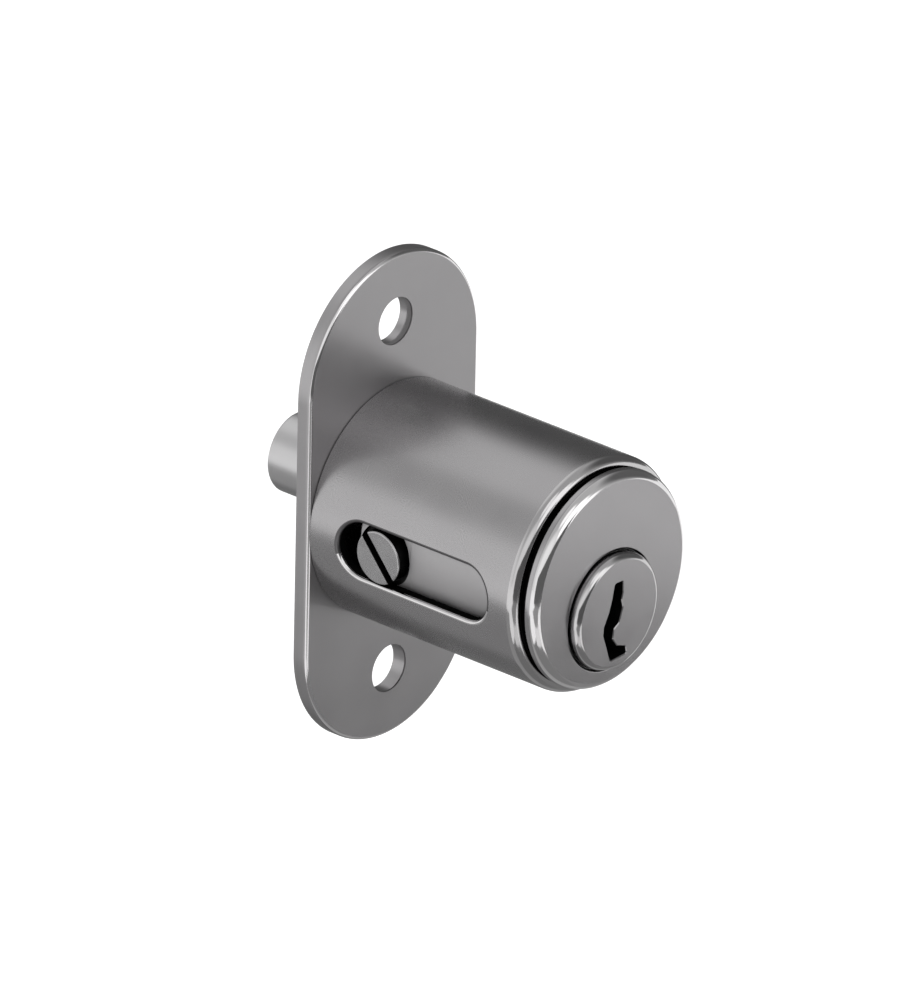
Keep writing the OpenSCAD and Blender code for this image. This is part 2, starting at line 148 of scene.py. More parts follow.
# %% Place the camera
camera_azimuth = math.radians(48.855)
camera_elevation = math.radians(25.109)
camera_roll = math.radians(1.171)
camera_distance = 2.5
photo_width = 900
photo_height = 1000
pixels_per_mm = 11.268
origin_pixel = (379.7, 490.1)       # where the lock's origin shows
sensor = 36.0


def camera_axes():
    """The camera's right, up and forward directions."""
    a, e, roll = camera_azimuth, camera_elevation, camera_roll
    right = Vector((math.cos(a), -math.sin(a), 0))
    up = Vector((math.sin(a) * math.sin(e), math.cos(a) * math.sin(e), math.cos(e)))
    forward = Vector((math.sin(a) * math.cos(e), math.cos(a) * math.cos(e), -math.sin(e)))
    rolled_right = math.cos(roll) * right + math.sin(roll) * up
    rolled_up = -math.sin(roll) * right + math.cos(roll) * up
    return rolled_right, rolled_up, forward


def make_camera():
    """A camera whose frame holds the lock as the photograph does."""
    right, up, forward = camera_axes()
    left_by = (photo_width / 2 - origin_pixel[0]) / pixels_per_mm * MM
    raised_by = (origin_pixel[1] - photo_height / 2) / pixels_per_mm * MM
    lens = bpy.data.cameras.new("camera")
    lens.sensor_width = sensor
    lens.lens = sensor * pixels_per_mm * (camera_distance / MM) / photo_height
    lens.clip_start = 0.1
    lens.clip_end = 20
    camera = add_object("camera", lens)
    turned = Matrix((right, up, -forward)).transposed().to_4x4()
    place = -forward * camera_distance + right * left_by + up * raised_by
    camera.matrix_world = Matrix.Translation(place) @ turned
    bpy.context.scene.camera = camera
    return camera


camera = make_camera()
print("lens", round(camera.data.lens), "mm")

# %% [markdown]
# Light for metal
#
# Polished and satin metal show what stands round them, so the studio matters more than the
# lamps. The world here is a soft studio: mid grey, with a bright wall at the left, a bright
# ceiling panel behind the lock, a dark right side and one strong soft box high in front, which
# puts the white glints on the polished edges. Each region is a round patch of directions,
# mixed over the last one with a soft edge. It has no picture in it.

# %% Build the world
Patch = namedtuple("Patch", "direction inner outer level")
studio_level = 0.60
studio_patches = [
    Patch((-0.80, 0.55, 0.08), 16, 50, 1.10),    # wall at the left
    Patch((0.04, 0.60, 0.80), 12, 38, 1.00),     # ceiling panel behind the lock
    Patch((-0.50, 0.60, 0.62), 4, 22, 0.66),     # the join of wall and ceiling
    Patch((0.85, 0.50, 0.15), 12, 48, 0.12),     # dark side at the right
    Patch((0.90, -0.25, 0.40), 16, 38, 0.14),    # and its part nearer the camera
    Patch((-0.65, -0.62, 0.10), 24, 48, 1.15),   # pale wall beside the camera
    Patch((0.36, -0.92, 0.14), 10, 17, 1.70),    # soft box in front, its lower half
    Patch((0.10, -0.88, 0.48), 14, 20, 1.70),    # its upper half
    Patch((-0.18, -0.55, 0.81), 9, 15, 1.50),    # and the hood over it
]


def add_patch(tree, level, patch):
    """Mixes one patch of directions over the level so far and gives the new level."""
    directions = add_node(tree, "ShaderNodeTexCoord")
    along = add_node(tree, "ShaderNodeVectorMath",
                     {0: directions.outputs["Generated"], 1: Vector(patch.direction).normalized()},
                     operation="DOT_PRODUCT")
    mask = add_node(tree, "ShaderNodeMapRange",
                    {"Value": along.outputs["Value"],
                     "From Min": math.cos(math.radians(patch.outer)),
                     "From Max": math.cos(math.radians(patch.inner))},
                    interpolation_type="SMOOTHSTEP")
    mix = add_node(tree, "ShaderNodeMix",
                   {"Factor": mask.outputs["Result"], "A": level, "B": patch.level})
    return mix.outputs["Result"]


def make_world():
    """The studio as a world of soft patches."""
    world = bpy.data.worlds.new("studio")
    world.use_nodes = True
    tree = world.node_tree
    level = studio_level
    for patch in studio_patches:
        level = add_patch(tree, level, patch)
    feed(tree, tree.nodes["Background"], {"Color": level, "Strength": 1.0})
    bpy.context.scene.world = world


make_world()
bpy.context.scene.view_settings.view_transform = "Standard"
print("studio patches", len(studio_patches))

# %% [markdown]
# Lamps
#
# Two large soft boxes light the floor and give the soft shadow under the lock. The metal
# doesn't see them, because what it mirrors is the studio. Their level stays near the world's,
# so that a colour renders about as it is written.

# %% Hang the lamps
Lamp = namedtuple("Lamp", "name direction distance width height power")
lamps = [
    Lamp("softbox_left", (-0.75, -0.60, 0.55), 1.2, 0.9, 0.6, 1.2),
    Lamp("softbox_high", (-0.30, 0.35, 0.90), 1.2, 0.8, 0.8, 1.0),
]


def hang_lamp(lamp):
    """An area lamp at a distance in one direction, turned to the lock."""
    data = bpy.data.lights.new(lamp.name, "AREA")
    data.shape = "RECTANGLE"
    data.size = lamp.width
    data.size_y = lamp.height
    data.energy = lamp.power
    light = add_object(lamp.name, data)
    direction = Vector(lamp.direction).normalized()
    turned = direction.to_track_quat("Z", "Y").to_matrix().to_4x4()
    light.matrix_world = Matrix.Translation(direction * lamp.distance) @ turned
    light.visible_glossy = False


for lamp in lamps:
    hang_lamp(lamp)
print("lamps", len(lamps))

# %% [markdown]
# Floor, table cards and flags
#
# The floor is pale and wide. Its Light Path makes it white for the camera and in reflections,
# on top of what the studio lights on it, so it still takes the lock's shadow. Grey cards lie
# between floor and lock, and two dark flags stand in front and at the right. The camera
# doesn't see them, but the metal does: this is how a photographer keeps a shiny underside
# from turning white and gives its edges something dark to mirror. A white strip gives the
# lower rims their highlight, and a small round grey card inside the upper screw hole, seen
# only in reflections, paints shade on the hole's wall.

# %% Lay the floor
Board = namedtuple("Board", "name level corners")
floor_drop = 0.11
floor_radius = 4.0
floor_glow = 0.55
floor_height = cad_low.z - floor_drop
card_height = -0.075


def lying(*places, z=card_height):
    """The corners of a card that lies level: two opposite places or all of them."""
    if len(places) == 2:
        (x0, y0), (x1, y1) = places
        places = [(x0, y0), (x1, y0), (x1, y1), (x0, y1)]
    return [(x, y, z) for x, y in places]


def standing(x0, y0, x1, y1, bottom, top):
    """The corners of a flag that is held upright along a line."""
    return [(x0, y0, bottom), (x1, y1, bottom), (x1, y1, top), (x0, y0, top)]


boards = [
    Board("card_back", 0.42, lying((-0.165, -0.030), (0.080, 0.200))),
    Board("card_front", 0.30, lying((0.030, -0.150), (0.112, -0.150), (0.126, -0.122),
                                    (0.112, -0.090), (0.112, -0.020), (0.030, -0.020))),
    Board("card_near", 0.26, lying((-0.060, -0.110), (0.030, -0.030))),
    Board("card_left", 0.38, lying((-0.180, -0.230), (-0.030, -0.110))),
    Board("card_under", 0.22, lying((-0.012, 0.005), (0.060, 0.090), z=-0.074)),
    Board("card_far", 0.50, lying((0.148, -0.190), (0.260, -0.070))),
    Board("white_strip", 1.00, lying((-0.082, -0.103), (-0.046, -0.068), (0.001, -0.115),
                                     (-0.010, -0.158), z=-0.073)),
    # a grey card inside the upper screw hole, seen only in reflections: painted shade on the hole's
    # wall
    Board("hole_shade_card", 0.30, circle(2.1 * MM, 17 * MM, 0.7 * MM, count=24)),
    Board("flag_front", 0.14, standing(-0.300, -0.205, 0.075, -0.240, -0.085, 0.050)),
    Board("flag_right", 0.12, standing(0.450, 0.050, 0.450, 0.700, floor_height, 0.150)),
]


def plain_material(name):
    """A node material without its default shader, and its output node."""
    material = bpy.data.materials.new(name)
    material.use_nodes = True
    tree = material.node_tree
    tree.nodes.remove(tree.nodes["Principled BSDF"])
    return material, tree, tree.nodes["Material Output"]


def floor_material():
    """Pale and matt, and white where the camera or the metal sees it."""
    material, tree, output = plain_material("pale_floor")
    matt = add_node(tree, "ShaderNodeBsdfDiffuse", {"Color": (0.8, 0.8, 0.8, 1)})
    path = add_node(tree, "ShaderNodeLightPath")
    seen = path.outputs["Is Camera Ray"]
    for other in ("Is Glossy Ray", "Is Transmission Ray"):
        seen = math_node(tree, "MAXIMUM", seen, path.outputs[other])
    level = math_node(tree, "MULTIPLY", seen, floor_glow)
    glow = add_node(tree, "ShaderNodeEmission", {"Strength": level})
    both = add_node(tree, "ShaderNodeAddShader", {0: matt.outputs[0], 1: glow.outputs[0]})
    feed(tree, output, {"Surface": both.outputs[0]})
    return material


def card_material(name, brightness):
    """A card of one level, whatever light falls on it."""
    material, tree, output = plain_material(name)
    glow = add_node(tree, "ShaderNodeEmission", {"Strength": brightness})
    feed(tree, output, {"Surface": glow.outputs[0]})
    return material


def flat_piece(name, corners, material):
    """One flat face through the corners."""
    mesh = bpy.data.meshes.new(name)
    mesh.from_pydata(corners, [], [list(range(len(corners)))])
    mesh.materials.append(material)
    return add_object(name, mesh)


def lay_floor():
    """A wide round floor under the lock."""
    angles = np.linspace(0, math.tau, 96, endpoint=False)
    rim = [(floor_radius * math.cos(a), floor_radius * math.sin(a), floor_height) for a in angles]
    return flat_piece("floor", rim, floor_material())


def set_board(board):
    """A card or flag, seen by reflections only."""
    piece = flat_piece(board.name, board.corners, card_material(board.name, board.level))
    piece.visible_camera = False
    piece.visible_diffuse = False
    piece.visible_shadow = False
    return piece


lay_floor()
[set_board(board) for board in boards]
print("floor at", round(floor_height / MM), "mm,", len(boards), "boards")

# %% [markdown]
# Metal finishes
#
# All of the lock is metal, so one function makes every finish. A metal's colour is its
# reflection, and its roughness decides how sharp that reflection is. Satin nickel comes from
# bead blasting under the plating: a fine grain with a slightly cloudy gloss. Two noises in
# Object coordinates give that, one for the clouds and one for the grain, which also drives a
# very low bump.

# %% Write the metal function
Metal = namedtuple("Metal", "colour rough cloud cloud_size grain grain_size depth tint",
                   defaults=(1.0,))


def noise_node(tree, vector, size, detail):
    """A noise whose features are about this size in metres."""
    noise = add_node(tree, "ShaderNodeTexNoise",
                     {"Vector": vector, "Scale": 1 / size, "Detail": detail})
    return noise.outputs["Fac"]


def ramp(tree, value, low, high):
    """Maps a noise from its usual middle span to low and high."""
    spread = add_node(tree, "ShaderNodeMapRange", {"Value": value, "From Min": 0.3, "From Max": 0.7,
                                                   "To Min": low, "To Max": high})
    return spread.outputs["Result"]


def metal_material(name, metal):
    """A metal with cloudy gloss and a fine grain."""
    material = bpy.data.materials.new(name)
    material.use_nodes = True
    tree = material.node_tree
    place = add_node(tree, "ShaderNodeTexCoord").outputs["Object"]
    clouds = noise_node(tree, place, metal.cloud_size, detail=3)
    grain = noise_node(tree, place, metal.grain_size, detail=2)
    darker = [c * (1 - metal.cloud) for c in metal.colour]
    colour = add_node(tree, "ShaderNodeMix", {0: ramp(tree, clouds, 0, 1), 6: (*darker, 1),
                                              7: (*metal.colour, 1)}, data_type="RGBA")
    gloss = ramp(tree, clouds, metal.rough - metal.cloud / 2, metal.rough + metal.cloud / 2)
    rough = math_node(tree, "ADD", gloss, ramp(tree, grain, -metal.grain, metal.grain))
    bump = add_node(tree, "ShaderNodeBump",
                    {"Strength": 1.0, "Distance": metal.depth, "Height": grain})
    feed(tree, tree.nodes["Principled BSDF"],
         {"Metallic": 1.0, "Specular Tint": (metal.tint, metal.tint, metal.tint, 1),
          "Base Color": colour.outputs[2], "Roughness": rough, "Normal": bump.outputs["Normal"]})
    return material


# %% Mix the finishes
NICKEL = (0.378, 0.370, 0.376)
BRIGHT = (0.66, 0.65, 0.655)
finishes = {
    "satin_nickel": Metal(NICKEL, 0.27, 0.04, 4 * MM, 0.02, 0.08 * MM, 0.0003 * MM),
    "button_nickel": Metal(NICKEL, 0.22, 0.04, 4 * MM, 0.02, 0.08 * MM, 0.0003 * MM),
    "polished_nickel": Metal(BRIGHT, 0.10, 0.03, 3 * MM, 0.02, 0.2 * MM, 0.0002 * MM),
    "rim_nickel": Metal((0.50, 0.492, 0.496), 0.12, 0.03, 3 * MM, 0.02, 0.2 * MM, 0.0002 * MM),
    # painted shade on the lips of the housing's openings that don't look up
    "painted_lip_shade": Metal((0.13, 0.127, 0.13), 0.35, 0.04, 2 * MM, 0.02, 0.1 * MM, 0.0003 * MM),
    "turned_side": Metal((0.44, 0.432, 0.438), 0.52, 0.04, 3 * MM, 0.02, 0.08 * MM, 0.0003 * MM),
    "bolt_nickel": Metal((0.54, 0.535, 0.54), 0.32, 0.04, 5 * MM, 0.02, 0.1 * MM, 0.0003 * MM),
    "screw_steel": Metal((0.42, 0.415, 0.42), 0.26, 0.05, 2 * MM, 0.03, 0.1 * MM, 0.0004 * MM),
    "plate_nickel": Metal(NICKEL, 0.36, 0.04, 4 * MM, 0.02, 0.08 * MM, 0.0003 * MM),
    # painted shade: near black and dull, for cut walls, recesses, the bore and gaps, in place of the
    # shade inside them
    "painted_shade": Metal((0.02, 0.02, 0.02), 0.45, 0.10, 1 * MM, 0.05, 0.1 * MM, 0.001 * MM, 0.0),
    "zinc_casting": Metal((0.30, 0.30, 0.315), 0.34, 0.08, 2 * MM, 0.05, 0.15 * MM, 0.002 * MM),
    "turned_brass": Metal((0.72, 0.53, 0.25), 0.24, 0.06, 2 * MM, 0.04, 0.08 * MM, 0.0008 * MM),
    "spring_steel": Metal((0.36, 0.36, 0.38), 0.26, 0.06, 1 * MM, 0.04, 0.06 * MM, 0.0006 * MM),
    "ground_steel": Metal((0.50, 0.50, 0.51), 0.18, 0.04, 2 * MM, 0.03, 0.05 * MM, 0.0004 * MM),
}
materials = {name: metal_material(name, metal) for name, metal in finishes.items()}
print("finishes", ", ".join(materials))

# %% [markdown]
# Turned shapes
#
# Nearly every piece of this lock is turned on a lathe, so one helper makes them: an outline of
# corners is swept round an axis parallel to Y. A corner may be rounded, its round may have
# its own finish, and its circle may sit higher or lower than the axis, because the plug and
# the bolt are off centre. A sphere or cylinder with bevels could do too, but an outline keeps
# every step of the real part and gives even quads.

# %% Write the turning helpers
Corner = namedtuple("Corner", "radius forward round shift edge after", defaults=(0.0, 0.0, 0, 0))
BODY, EDGE, SHADED_CUT, SIDE, SHADED_LIP = range(5)     # which of a piece's finishes a face has; the third, on cut walls and recesses, and the fifth, on lips that don't look up, are painted shade
fine_round = 0.05 * MM
soft_round = 0.1 * MM
arc_steps = 6
weld = 0.0005 * MM


def arc(before, corner, after):
    """Points of the round at a corner, between its two tangent points."""
    point = np.array((corner.radius, corner.forward))
    to_before = np.array((before.radius, before.forward)) - point
    to_after = np.array((after.radius, after.forward)) - point
    to_before = to_before / np.linalg.norm(to_before)
    to_after = to_after / np.linalg.norm(to_after)
    opening = math.acos(float(np.clip(to_before @ to_after, -1, 1)))
    reach = corner.round / math.tan(opening / 2)
    middle = to_before + to_after
    centre = point + middle / np.linalg.norm(middle) * corner.round / math.sin(opening / 2)
    start = point + to_before * reach - centre
    end = point + to_after * reach - centre
    swing = math.pi - opening
    points = []
    for step in range(arc_steps + 1):
        share = step / arc_steps
        spoke = (start * math.sin((1 - share) * swing) + end * math.sin(share * swing))
        points.append(centre + spoke / math.sin(swing))
    return points


def trace(corners, closed):
    """The outline as (radius, forward, shift, finish of the band that follows)."""
    outline = []
    for i, corner in enumerate(corners):
        if corner.round:
            points = arc(corners[i - 1], corner, corners[(i + 1) % len(corners)])
            for point in points[:-1]:
                outline.append((point[0], point[1], corner.shift, corner.edge))
            outline.append((points[-1][0], points[-1][1], corner.shift, corner.after))
        else:
            outline.append((corner.radius, corner.forward, corner.shift, corner.after))
    if closed:
        outline.append(outline[0])
    return outline


def crisp_round(radius, forward, reach):
    """An outside round that stops at a crisp line: its own finish outside, polished inside."""
    slope, split, steps = math.radians(15), math.radians(78), 14
    corners = []
    for step in range(steps + 1):
        tilt = math.pi / 2 + (slope - math.pi / 2) * step / steps
        polished = tilt < split and step < steps
        corners.append(Corner(radius - reach + reach * math.sin(tilt),
                              forward - reach * math.cos(slope) + reach * math.cos(tilt),
                              after=EDGE if polished else BODY))
    return corners


def raised(height, corners):
    """The same outline round an axis at this height."""
    return [corner._replace(shift=height) for corner in corners]


def turned_surface(corners, sides, closed=False):
    """Points, faces and finish numbers of a turned shape."""
    outline = trace(corners, closed)
    points = [point for radius, forward, shift, _ in outline
              for point in circle(radius, shift, forward, sides)]
    finish = [band_finish for *_, band_finish in outline[:-1] for _ in range(sides)]
    return points, skin_faces(len(outline), sides), finish


def clean(shape):
    """Merges doubles and turns the faces outwards."""
    bmesh.ops.remove_doubles(shape, verts=shape.verts, dist=weld)
    bmesh.ops.recalc_face_normals(shape, faces=shape.faces)


def make_piece(name, surface, place=None):
    """A mesh object with doubles merged and faces pointing outwards."""
    points, faces, finish = surface
    mesh = bpy.data.meshes.new(name)
    mesh.from_pydata([tuple(p) for p in points], [], faces)
    mesh.polygons.foreach_set("material_index", finish)
    shape = bmesh.new()
    shape.from_mesh(mesh)
    clean(shape)
    if place is not None:
        shape.transform(place)
    shape.to_mesh(mesh)
    shape.free()
    return add_object(name, mesh)


def turned(name, corners, sides=128, closed=False, place=None):
    """A turned piece round an axis parallel to Y, then moved by place."""
    return make_piece(name, turned_surface(corners, sides, closed), place)


# %% Write the cutting and finishing helpers
smooth_angle = math.radians(32)
crisp_angle = math.radians(10)


def settle(piece):
    """Turns what the modifiers make into the piece's own mesh."""
    depsgraph = bpy.context.evaluated_depsgraph_get()
    evaluated = piece.evaluated_get(depsgraph)
    mesh = bpy.data.meshes.new_from_object(evaluated, preserve_all_data_layers=True,
                                           depsgraph=depsgraph)
    piece.modifiers.clear()
    piece.data = mesh


def cut(piece, *cutters):
    """Cuts the cutters' shapes out of the piece and deletes them."""
    for cutter in cutters:
        boolean = piece.modifiers.new("Cut", "BOOLEAN")
        boolean.operation = "DIFFERENCE"
        boolean.solver = "EXACT"
        boolean.object = cutter
    settle(piece)
    for cutter in cutters:
        bpy.data.objects.remove(cutter)


def mark_crisp_lines(mesh):
    """Makes an edge sharp where the finish changes over a clear angle."""
    shape = bmesh.new()
    shape.from_mesh(mesh)
    for edge in shape.edges:
        finish = {face.material_index for face in edge.link_faces}
        if len(finish) > 1 and edge.calc_face_angle(0) > crisp_angle:
            edge.smooth = False
    shape.to_mesh(mesh)
    shape.free()


def weigh_normals(piece):
    """Lets large faces rule the shading. Done in mm, because areas in m2 are too small for it."""
    piece.data.transform(Matrix.Scale(1 / MM, 4))
    even = piece.modifiers.new("Even normals", "WEIGHTED_NORMAL")
    even.keep_sharp = True
    settle(piece)
    piece.data.transform(Matrix.Scale(MM, 4))


def dress(piece, body, slot, stands_for, *finish_names):
    """Shades the piece, gives it its finishes, and ties it to its body."""
    for name in finish_names:
        piece.data.materials.append(materials[name])
    piece.data.shade_smooth()
    piece.data.set_sharp_from_angle(angle=smooth_angle)
    mark_crisp_lines(piece.data)
    weigh_normals(piece)
    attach(piece, body)
    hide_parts(*stands_for)
    piece.data.calc_loop_triangles()
    print(piece.name, len(piece.data.loop_triangles), "triangles")


def box_cutter(low, high, finish=BODY):
    """A block from its low corner to its high corner, as a cutter that leaves this finish."""
    shape = bmesh.new()
    bmesh.ops.create_cube(shape, size=1)
    for face in shape.faces:
        face.material_index = finish
    size = Vector(high) - Vector(low)
    centre = (Vector(high) + Vector(low)) / 2
    shape.transform(Matrix.Translation(centre) @ Matrix.Diagonal((*size, 1)))
    return add_object("block", mesh_from(shape, "block"))


def rod_cutter(radius, start, end, place=None, sides=64, finish=BODY):
    """A straight rod along the forward direction, as a cutter that leaves this finish."""
    corners = [Corner(0, start, after=finish), Corner(radius, start, after=finish),
               Corner(radius, end, after=finish), Corner(0, end)]
    return turned("rod", corners, sides, place=place)


def moved(x=0.0, forward=0.0, z=0.0):
    """A move in the lock's own directions."""
    return Matrix.Translation((x, -forward, z))


POINT_UP = Matrix.Rotation(-math.pi / 2, 4, "X")      # turns forward to +Z
POINT_LEFT = Matrix.Rotation(-math.pi / 2, 4, "Z")    # turns forward to -X
print("turning and cutting helpers are ready")

# %% [markdown]
# Sizes of the lock
#
# The frame gives each node's box. What a box can't tell, such as the depth of a recess inside
# a node, is written here once as a real size.

# %% Read and name the sizes
plate_low, plate_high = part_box("mounting_plate")
tube_low, tube_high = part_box("housing_tube")
barrel_low, barrel_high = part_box("plunger_barrel")
carrier_low, carrier_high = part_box("plunger_carrier")
plug_low, plug_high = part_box("key_plug")
bolt_low, bolt_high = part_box("locking_bolt")
screw_low, screw_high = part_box("guide_screw")
clip_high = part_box("plug_clip")[1]
cover_low, cover_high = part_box("chamber_cover")

plate_front = -plate_low.y
plate_r = plate_high.x
housing_r = tube_high.x
rim_forward = -tube_low.y
housing_wall = 1.15 * MM
bore_r = housing_r - housing_wall
rear_seat = 3.0 * MM                     # front face of the housing's rear wall
spigot_r = 7 * MM
stake_flare = 0.4 * MM
bolt_centre = (bolt_low.z + bolt_high.z) / 2
bolt_r = (bolt_high.z - bolt_low.z) / 2
bolt_bore_r = bolt_r + 0.05 * MM
plunger_r = (carrier_high.z - carrier_low.z) / 2
button_r = barrel_high.x
button_face = -barrel_low.y
head_under = button_face - 1.25 * MM     # rear face of the button's head
joint = -barrel_high.y                   # where barrel and carrier meet
plug_centre = (plug_low.z + plug_high.z) / 2
plug_head_r = (plug_high.z - plug_low.z) / 2
plug_r = 4.9 * MM
plug_front = -plug_low.y
plug_rear = -plug_high.y
plug_head_under = 26.1 * MM
pin_boxes = [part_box(f"key_pin_{i}") for i in range(1, 6)]
pin_places = [-(low.y + high.y) / 2 for low, high in pin_boxes]
chamber_r = 0.95 * MM
keyway_end = min(pin_places) - chamber_r
screw_forward = -(screw_low.y + screw_high.y) / 2
screw_head_r = (screw_high.z - screw_low.z) / 2
spot_floor = 9.2 * MM
print("housing radius", round(housing_r / MM, 2), "plug centre", round(plug_centre / MM, 2))

# %% [markdown]
# The mounting plate
#
# A stamped oblong with a rolled front edge, two screw holes and the big hole that the housing
# is staked into. Its outline isn't round, so it is built from loops: the edge is a stack of
# shrinking outlines, and the flat faces are filled between the loops.

# %% Build the mounting plate
plate_roll = 0.45 * MM
hole_r = 2.25 * MM
hole_groove = 0.15 * MM                  # groove in the wall, right behind the front edge
hole_place = 17 * MM
plate_back_round = 0.08 * MM
spigot_sides = 128
rolled_slope = (0.57, 0.97)              # how far forward the polished part of the roll looks


def oblong(radius, straight, forward, count=96):
    """A loop round the plate: two half circles of this radius joined by straight sides."""
    points = []
    for side in range(2 * count + 2):
        top = side <= count
        share = (side if top else side - count - 1) / count
        angle = math.pi * share + (0 if top else math.pi)
        height = straight if top else -straight
        points.append((radius * math.cos(angle), -forward, height + radius * math.sin(angle)))
    return points


def band(shape, loops):
    """Faces between neighbouring loops. Gives the edges of the first and the last loop."""
    rings = [[shape.verts.new(p) for p in loop] for loop in loops]
    for near, far in zip(rings, rings[1:]):
        for i in range(len(near)):
            following = (i + 1) % len(near)
            shape.faces.new((near[i], near[following], far[following], far[i]))
    return [[shape.edges.get((ring[i], ring[(i + 1) % len(ring)])) for i in range(len(ring))]
            for ring in (rings[0], rings[-1])]


def quarter(radius, steps=8):
    """(inwards, along) of a quarter round, from its side tangent to its front tangent."""
    turns = [math.pi / 2 * s / steps for s in range(steps + 1)]
    return [(radius * (1 - math.cos(t)), radius * math.sin(t)) for t in turns]


def build_plate():
    """The plate's bands and filled faces."""
    straight = plate_high.z - plate_r
    roll = [oblong(corner.radius, straight, corner.forward)
            for corner in crisp_round(plate_r, plate_front, plate_roll)]
    back = [oblong(plate_r - inwards, straight, plate_back_round - along)
            for inwards, along in reversed(quarter(plate_back_round, steps=3))]
    walls = [back + roll]
    for height in (-hole_place, hole_place):
        groove_rear = plate_front - hole_groove
        groove = [circle(hole_r + hole_groove - inwards, height, groove_rear + along)
                  for inwards, along in quarter(hole_groove, steps=4)]
        walls.append([circle(hole_r, height, 0), circle(hole_r, height, groove_rear), *groove])
    walls.append([circle(radius, 0, forward, spigot_sides)
                  for radius, forward in ((spigot_r + stake_flare, 0), (spigot_r, stake_flare),
                                          (spigot_r, plate_front))])
    shape = bmesh.new()
    ends = [band(shape, loops) for loops in walls]
    for borders in zip(*ends):
        edges = [edge for border in borders for edge in border]
        bmesh.ops.triangle_fill(shape, edges=edges, use_beauty=True, use_dissolve=False)
    clean(shape)
    for face in shape.faces:
        in_front = -face.calc_center_median().y > plate_front / 2
        rolled = in_front and rolled_slope[0] < abs(face.normal.y) < rolled_slope[1]
        face.material_index = EDGE if rolled else BODY
    return add_object("plate", mesh_from(shape, "plate"))


dress(build_plate(), "housing", "plate_nickel", ["mounting_plate"], "plate_nickel", "polished_nickel")

# %% [markdown]
# The housing
#
# A tube with a rear wall. The slot and the latch window go through its wall, and their edges
# are softly rounded. A Boolean cut would leave ragged faces that can't be rounded well, so
# each opening gets a patch of its own: rings that lead from the square edge of a hole in the
# grid to the opening's outline, over the round, through the wall and out again inside.

# %% Build the housing's skin
housing_sides = 192
row_pitch = 0.4 * MM
row_count = 58
rim_round = 0.85 * MM
foot_round = 0.12 * MM
bore_lead = 0.25 * MM
opening_round = 0.36 * MM
upper_side = 0.3                         # from here on, an opening's lip looks up and stays polished; the rest of the lip is painted with shade
wall_share = 0.95                        # faces within this share of the bore's radius aren't wall
skin_shares = (1, 0.8, 0.6, 0.42, 0.27, 0.14, 0.05)    # rings from the grid's gap to the lip
wall_shares = (0, 0.2, 0.5, 1)           # and from the opening's wall to the gap inside
column = math.tau / housing_sides
Opening = namedtuple("Opening", "angle columns first last core corner round")
rows = [plate_front + row_pitch * k for k in range(row_count)]
openings = [
    Opening(math.pi, 13, 5, 55, (0, 7.45 * MM, 19.65 * MM), 2.65 * MM, opening_round),
    Opening(1.5 * math.pi, 11, 20, 30, (2.1 * MM, 10.7 * MM, 12.1 * MM), 0.2 * MM, 0.1 * MM),
]


def opening_frame(opening):
    """The square edge of the gap in the grid: (column from the middle, forward) all round."""
    n = opening.columns
    spans = rows[opening.first:opening.last + 1]
    near = [(c, spans[0]) for c in range(-n, n)]
    right = [(n, r) for r in spans[:-1]]
    far = [(c, spans[-1]) for c in range(n, -n, -1)]
    left = [(-n, r) for r in spans[:0:-1]]
    return near + right + far + left


def opening_rings(opening):
    """Rings of (place, radius, depth, finish) from the skin through the wall, and the spokes."""
    edge = opening_frame(opening)
    half, low, high = opening.core
    outer = np.array([(housing_r * math.sin(c * column), r) for c, r in edge])
    inner = np.array([(bore_r * math.sin(c * column), r) for c, r in edge])
    nearest = np.column_stack((np.clip(outer[:, 0], -half, half), np.clip(outer[:, 1], low, high)))
    spokes = outer - nearest
    spokes = spokes / np.linalg.norm(spokes, axis=1)[:, None]
    rings = []
    lip = nearest + spokes * (opening.corner + opening.round)
    for share in skin_shares:
        rings.append((lip + (outer - lip) * share, housing_r, 0, BODY))
    for inwards, along in reversed(quarter(opening.round, steps=6)):
        rim = nearest + spokes * (opening.corner + inwards)
        rings.append((rim, housing_r, opening.round - along, EDGE))
    # The last step of the round and the opening's wall take the third finish, painted shade.
    rings[-1] = (*rings[-1][:3], SHADED_CUT)
    wall = nearest + spokes * opening.corner
    for share in wall_shares:
        rings.append((wall + (inner - wall) * share, bore_r, 0, SHADED_CUT))
    return rings, spokes


def opening_surface(opening):
    """Points, faces and finish numbers of one opening's patch."""
    out = np.array((math.cos(opening.angle), math.sin(opening.angle)))
    side = np.array((-out[1], out[0]))
    points, finish = [], []
    rings, spokes = opening_rings(opening)
    for ring, radius, depth, _ in rings:
        for sideways, forward in ring:
            place = out * (math.sqrt(radius**2 - sideways**2) - depth) + side * sideways
            points.append((place[0], -forward, place[1]))
    for *_, ring_finish in rings[:-1]:
        for spoke in spokes:
            # A lip round that doesn't look up gets the dark lip finish, which is painted shade.
            looks_up = spoke[0] > upper_side
            finish.append(SHADED_LIP if ring_finish == EDGE and not looks_up else ring_finish)
    return points, skin_faces(len(rings), len(spokes)), finish


def in_opening(centre):
    """Whether a face of the plain tube lies where an opening's patch goes."""
    in_wall = math.hypot(centre[0], centre[2]) > wall_share * bore_r
    angle = math.atan2(centre[2], centre[0])
    for opening in openings:
        turn = (angle - opening.angle + math.pi) % math.tau - math.pi
        inside = abs(turn) < opening.columns * column
        if inside and in_wall and rows[opening.first] < -centre[1] < rows[opening.last]:
            return True
    return False


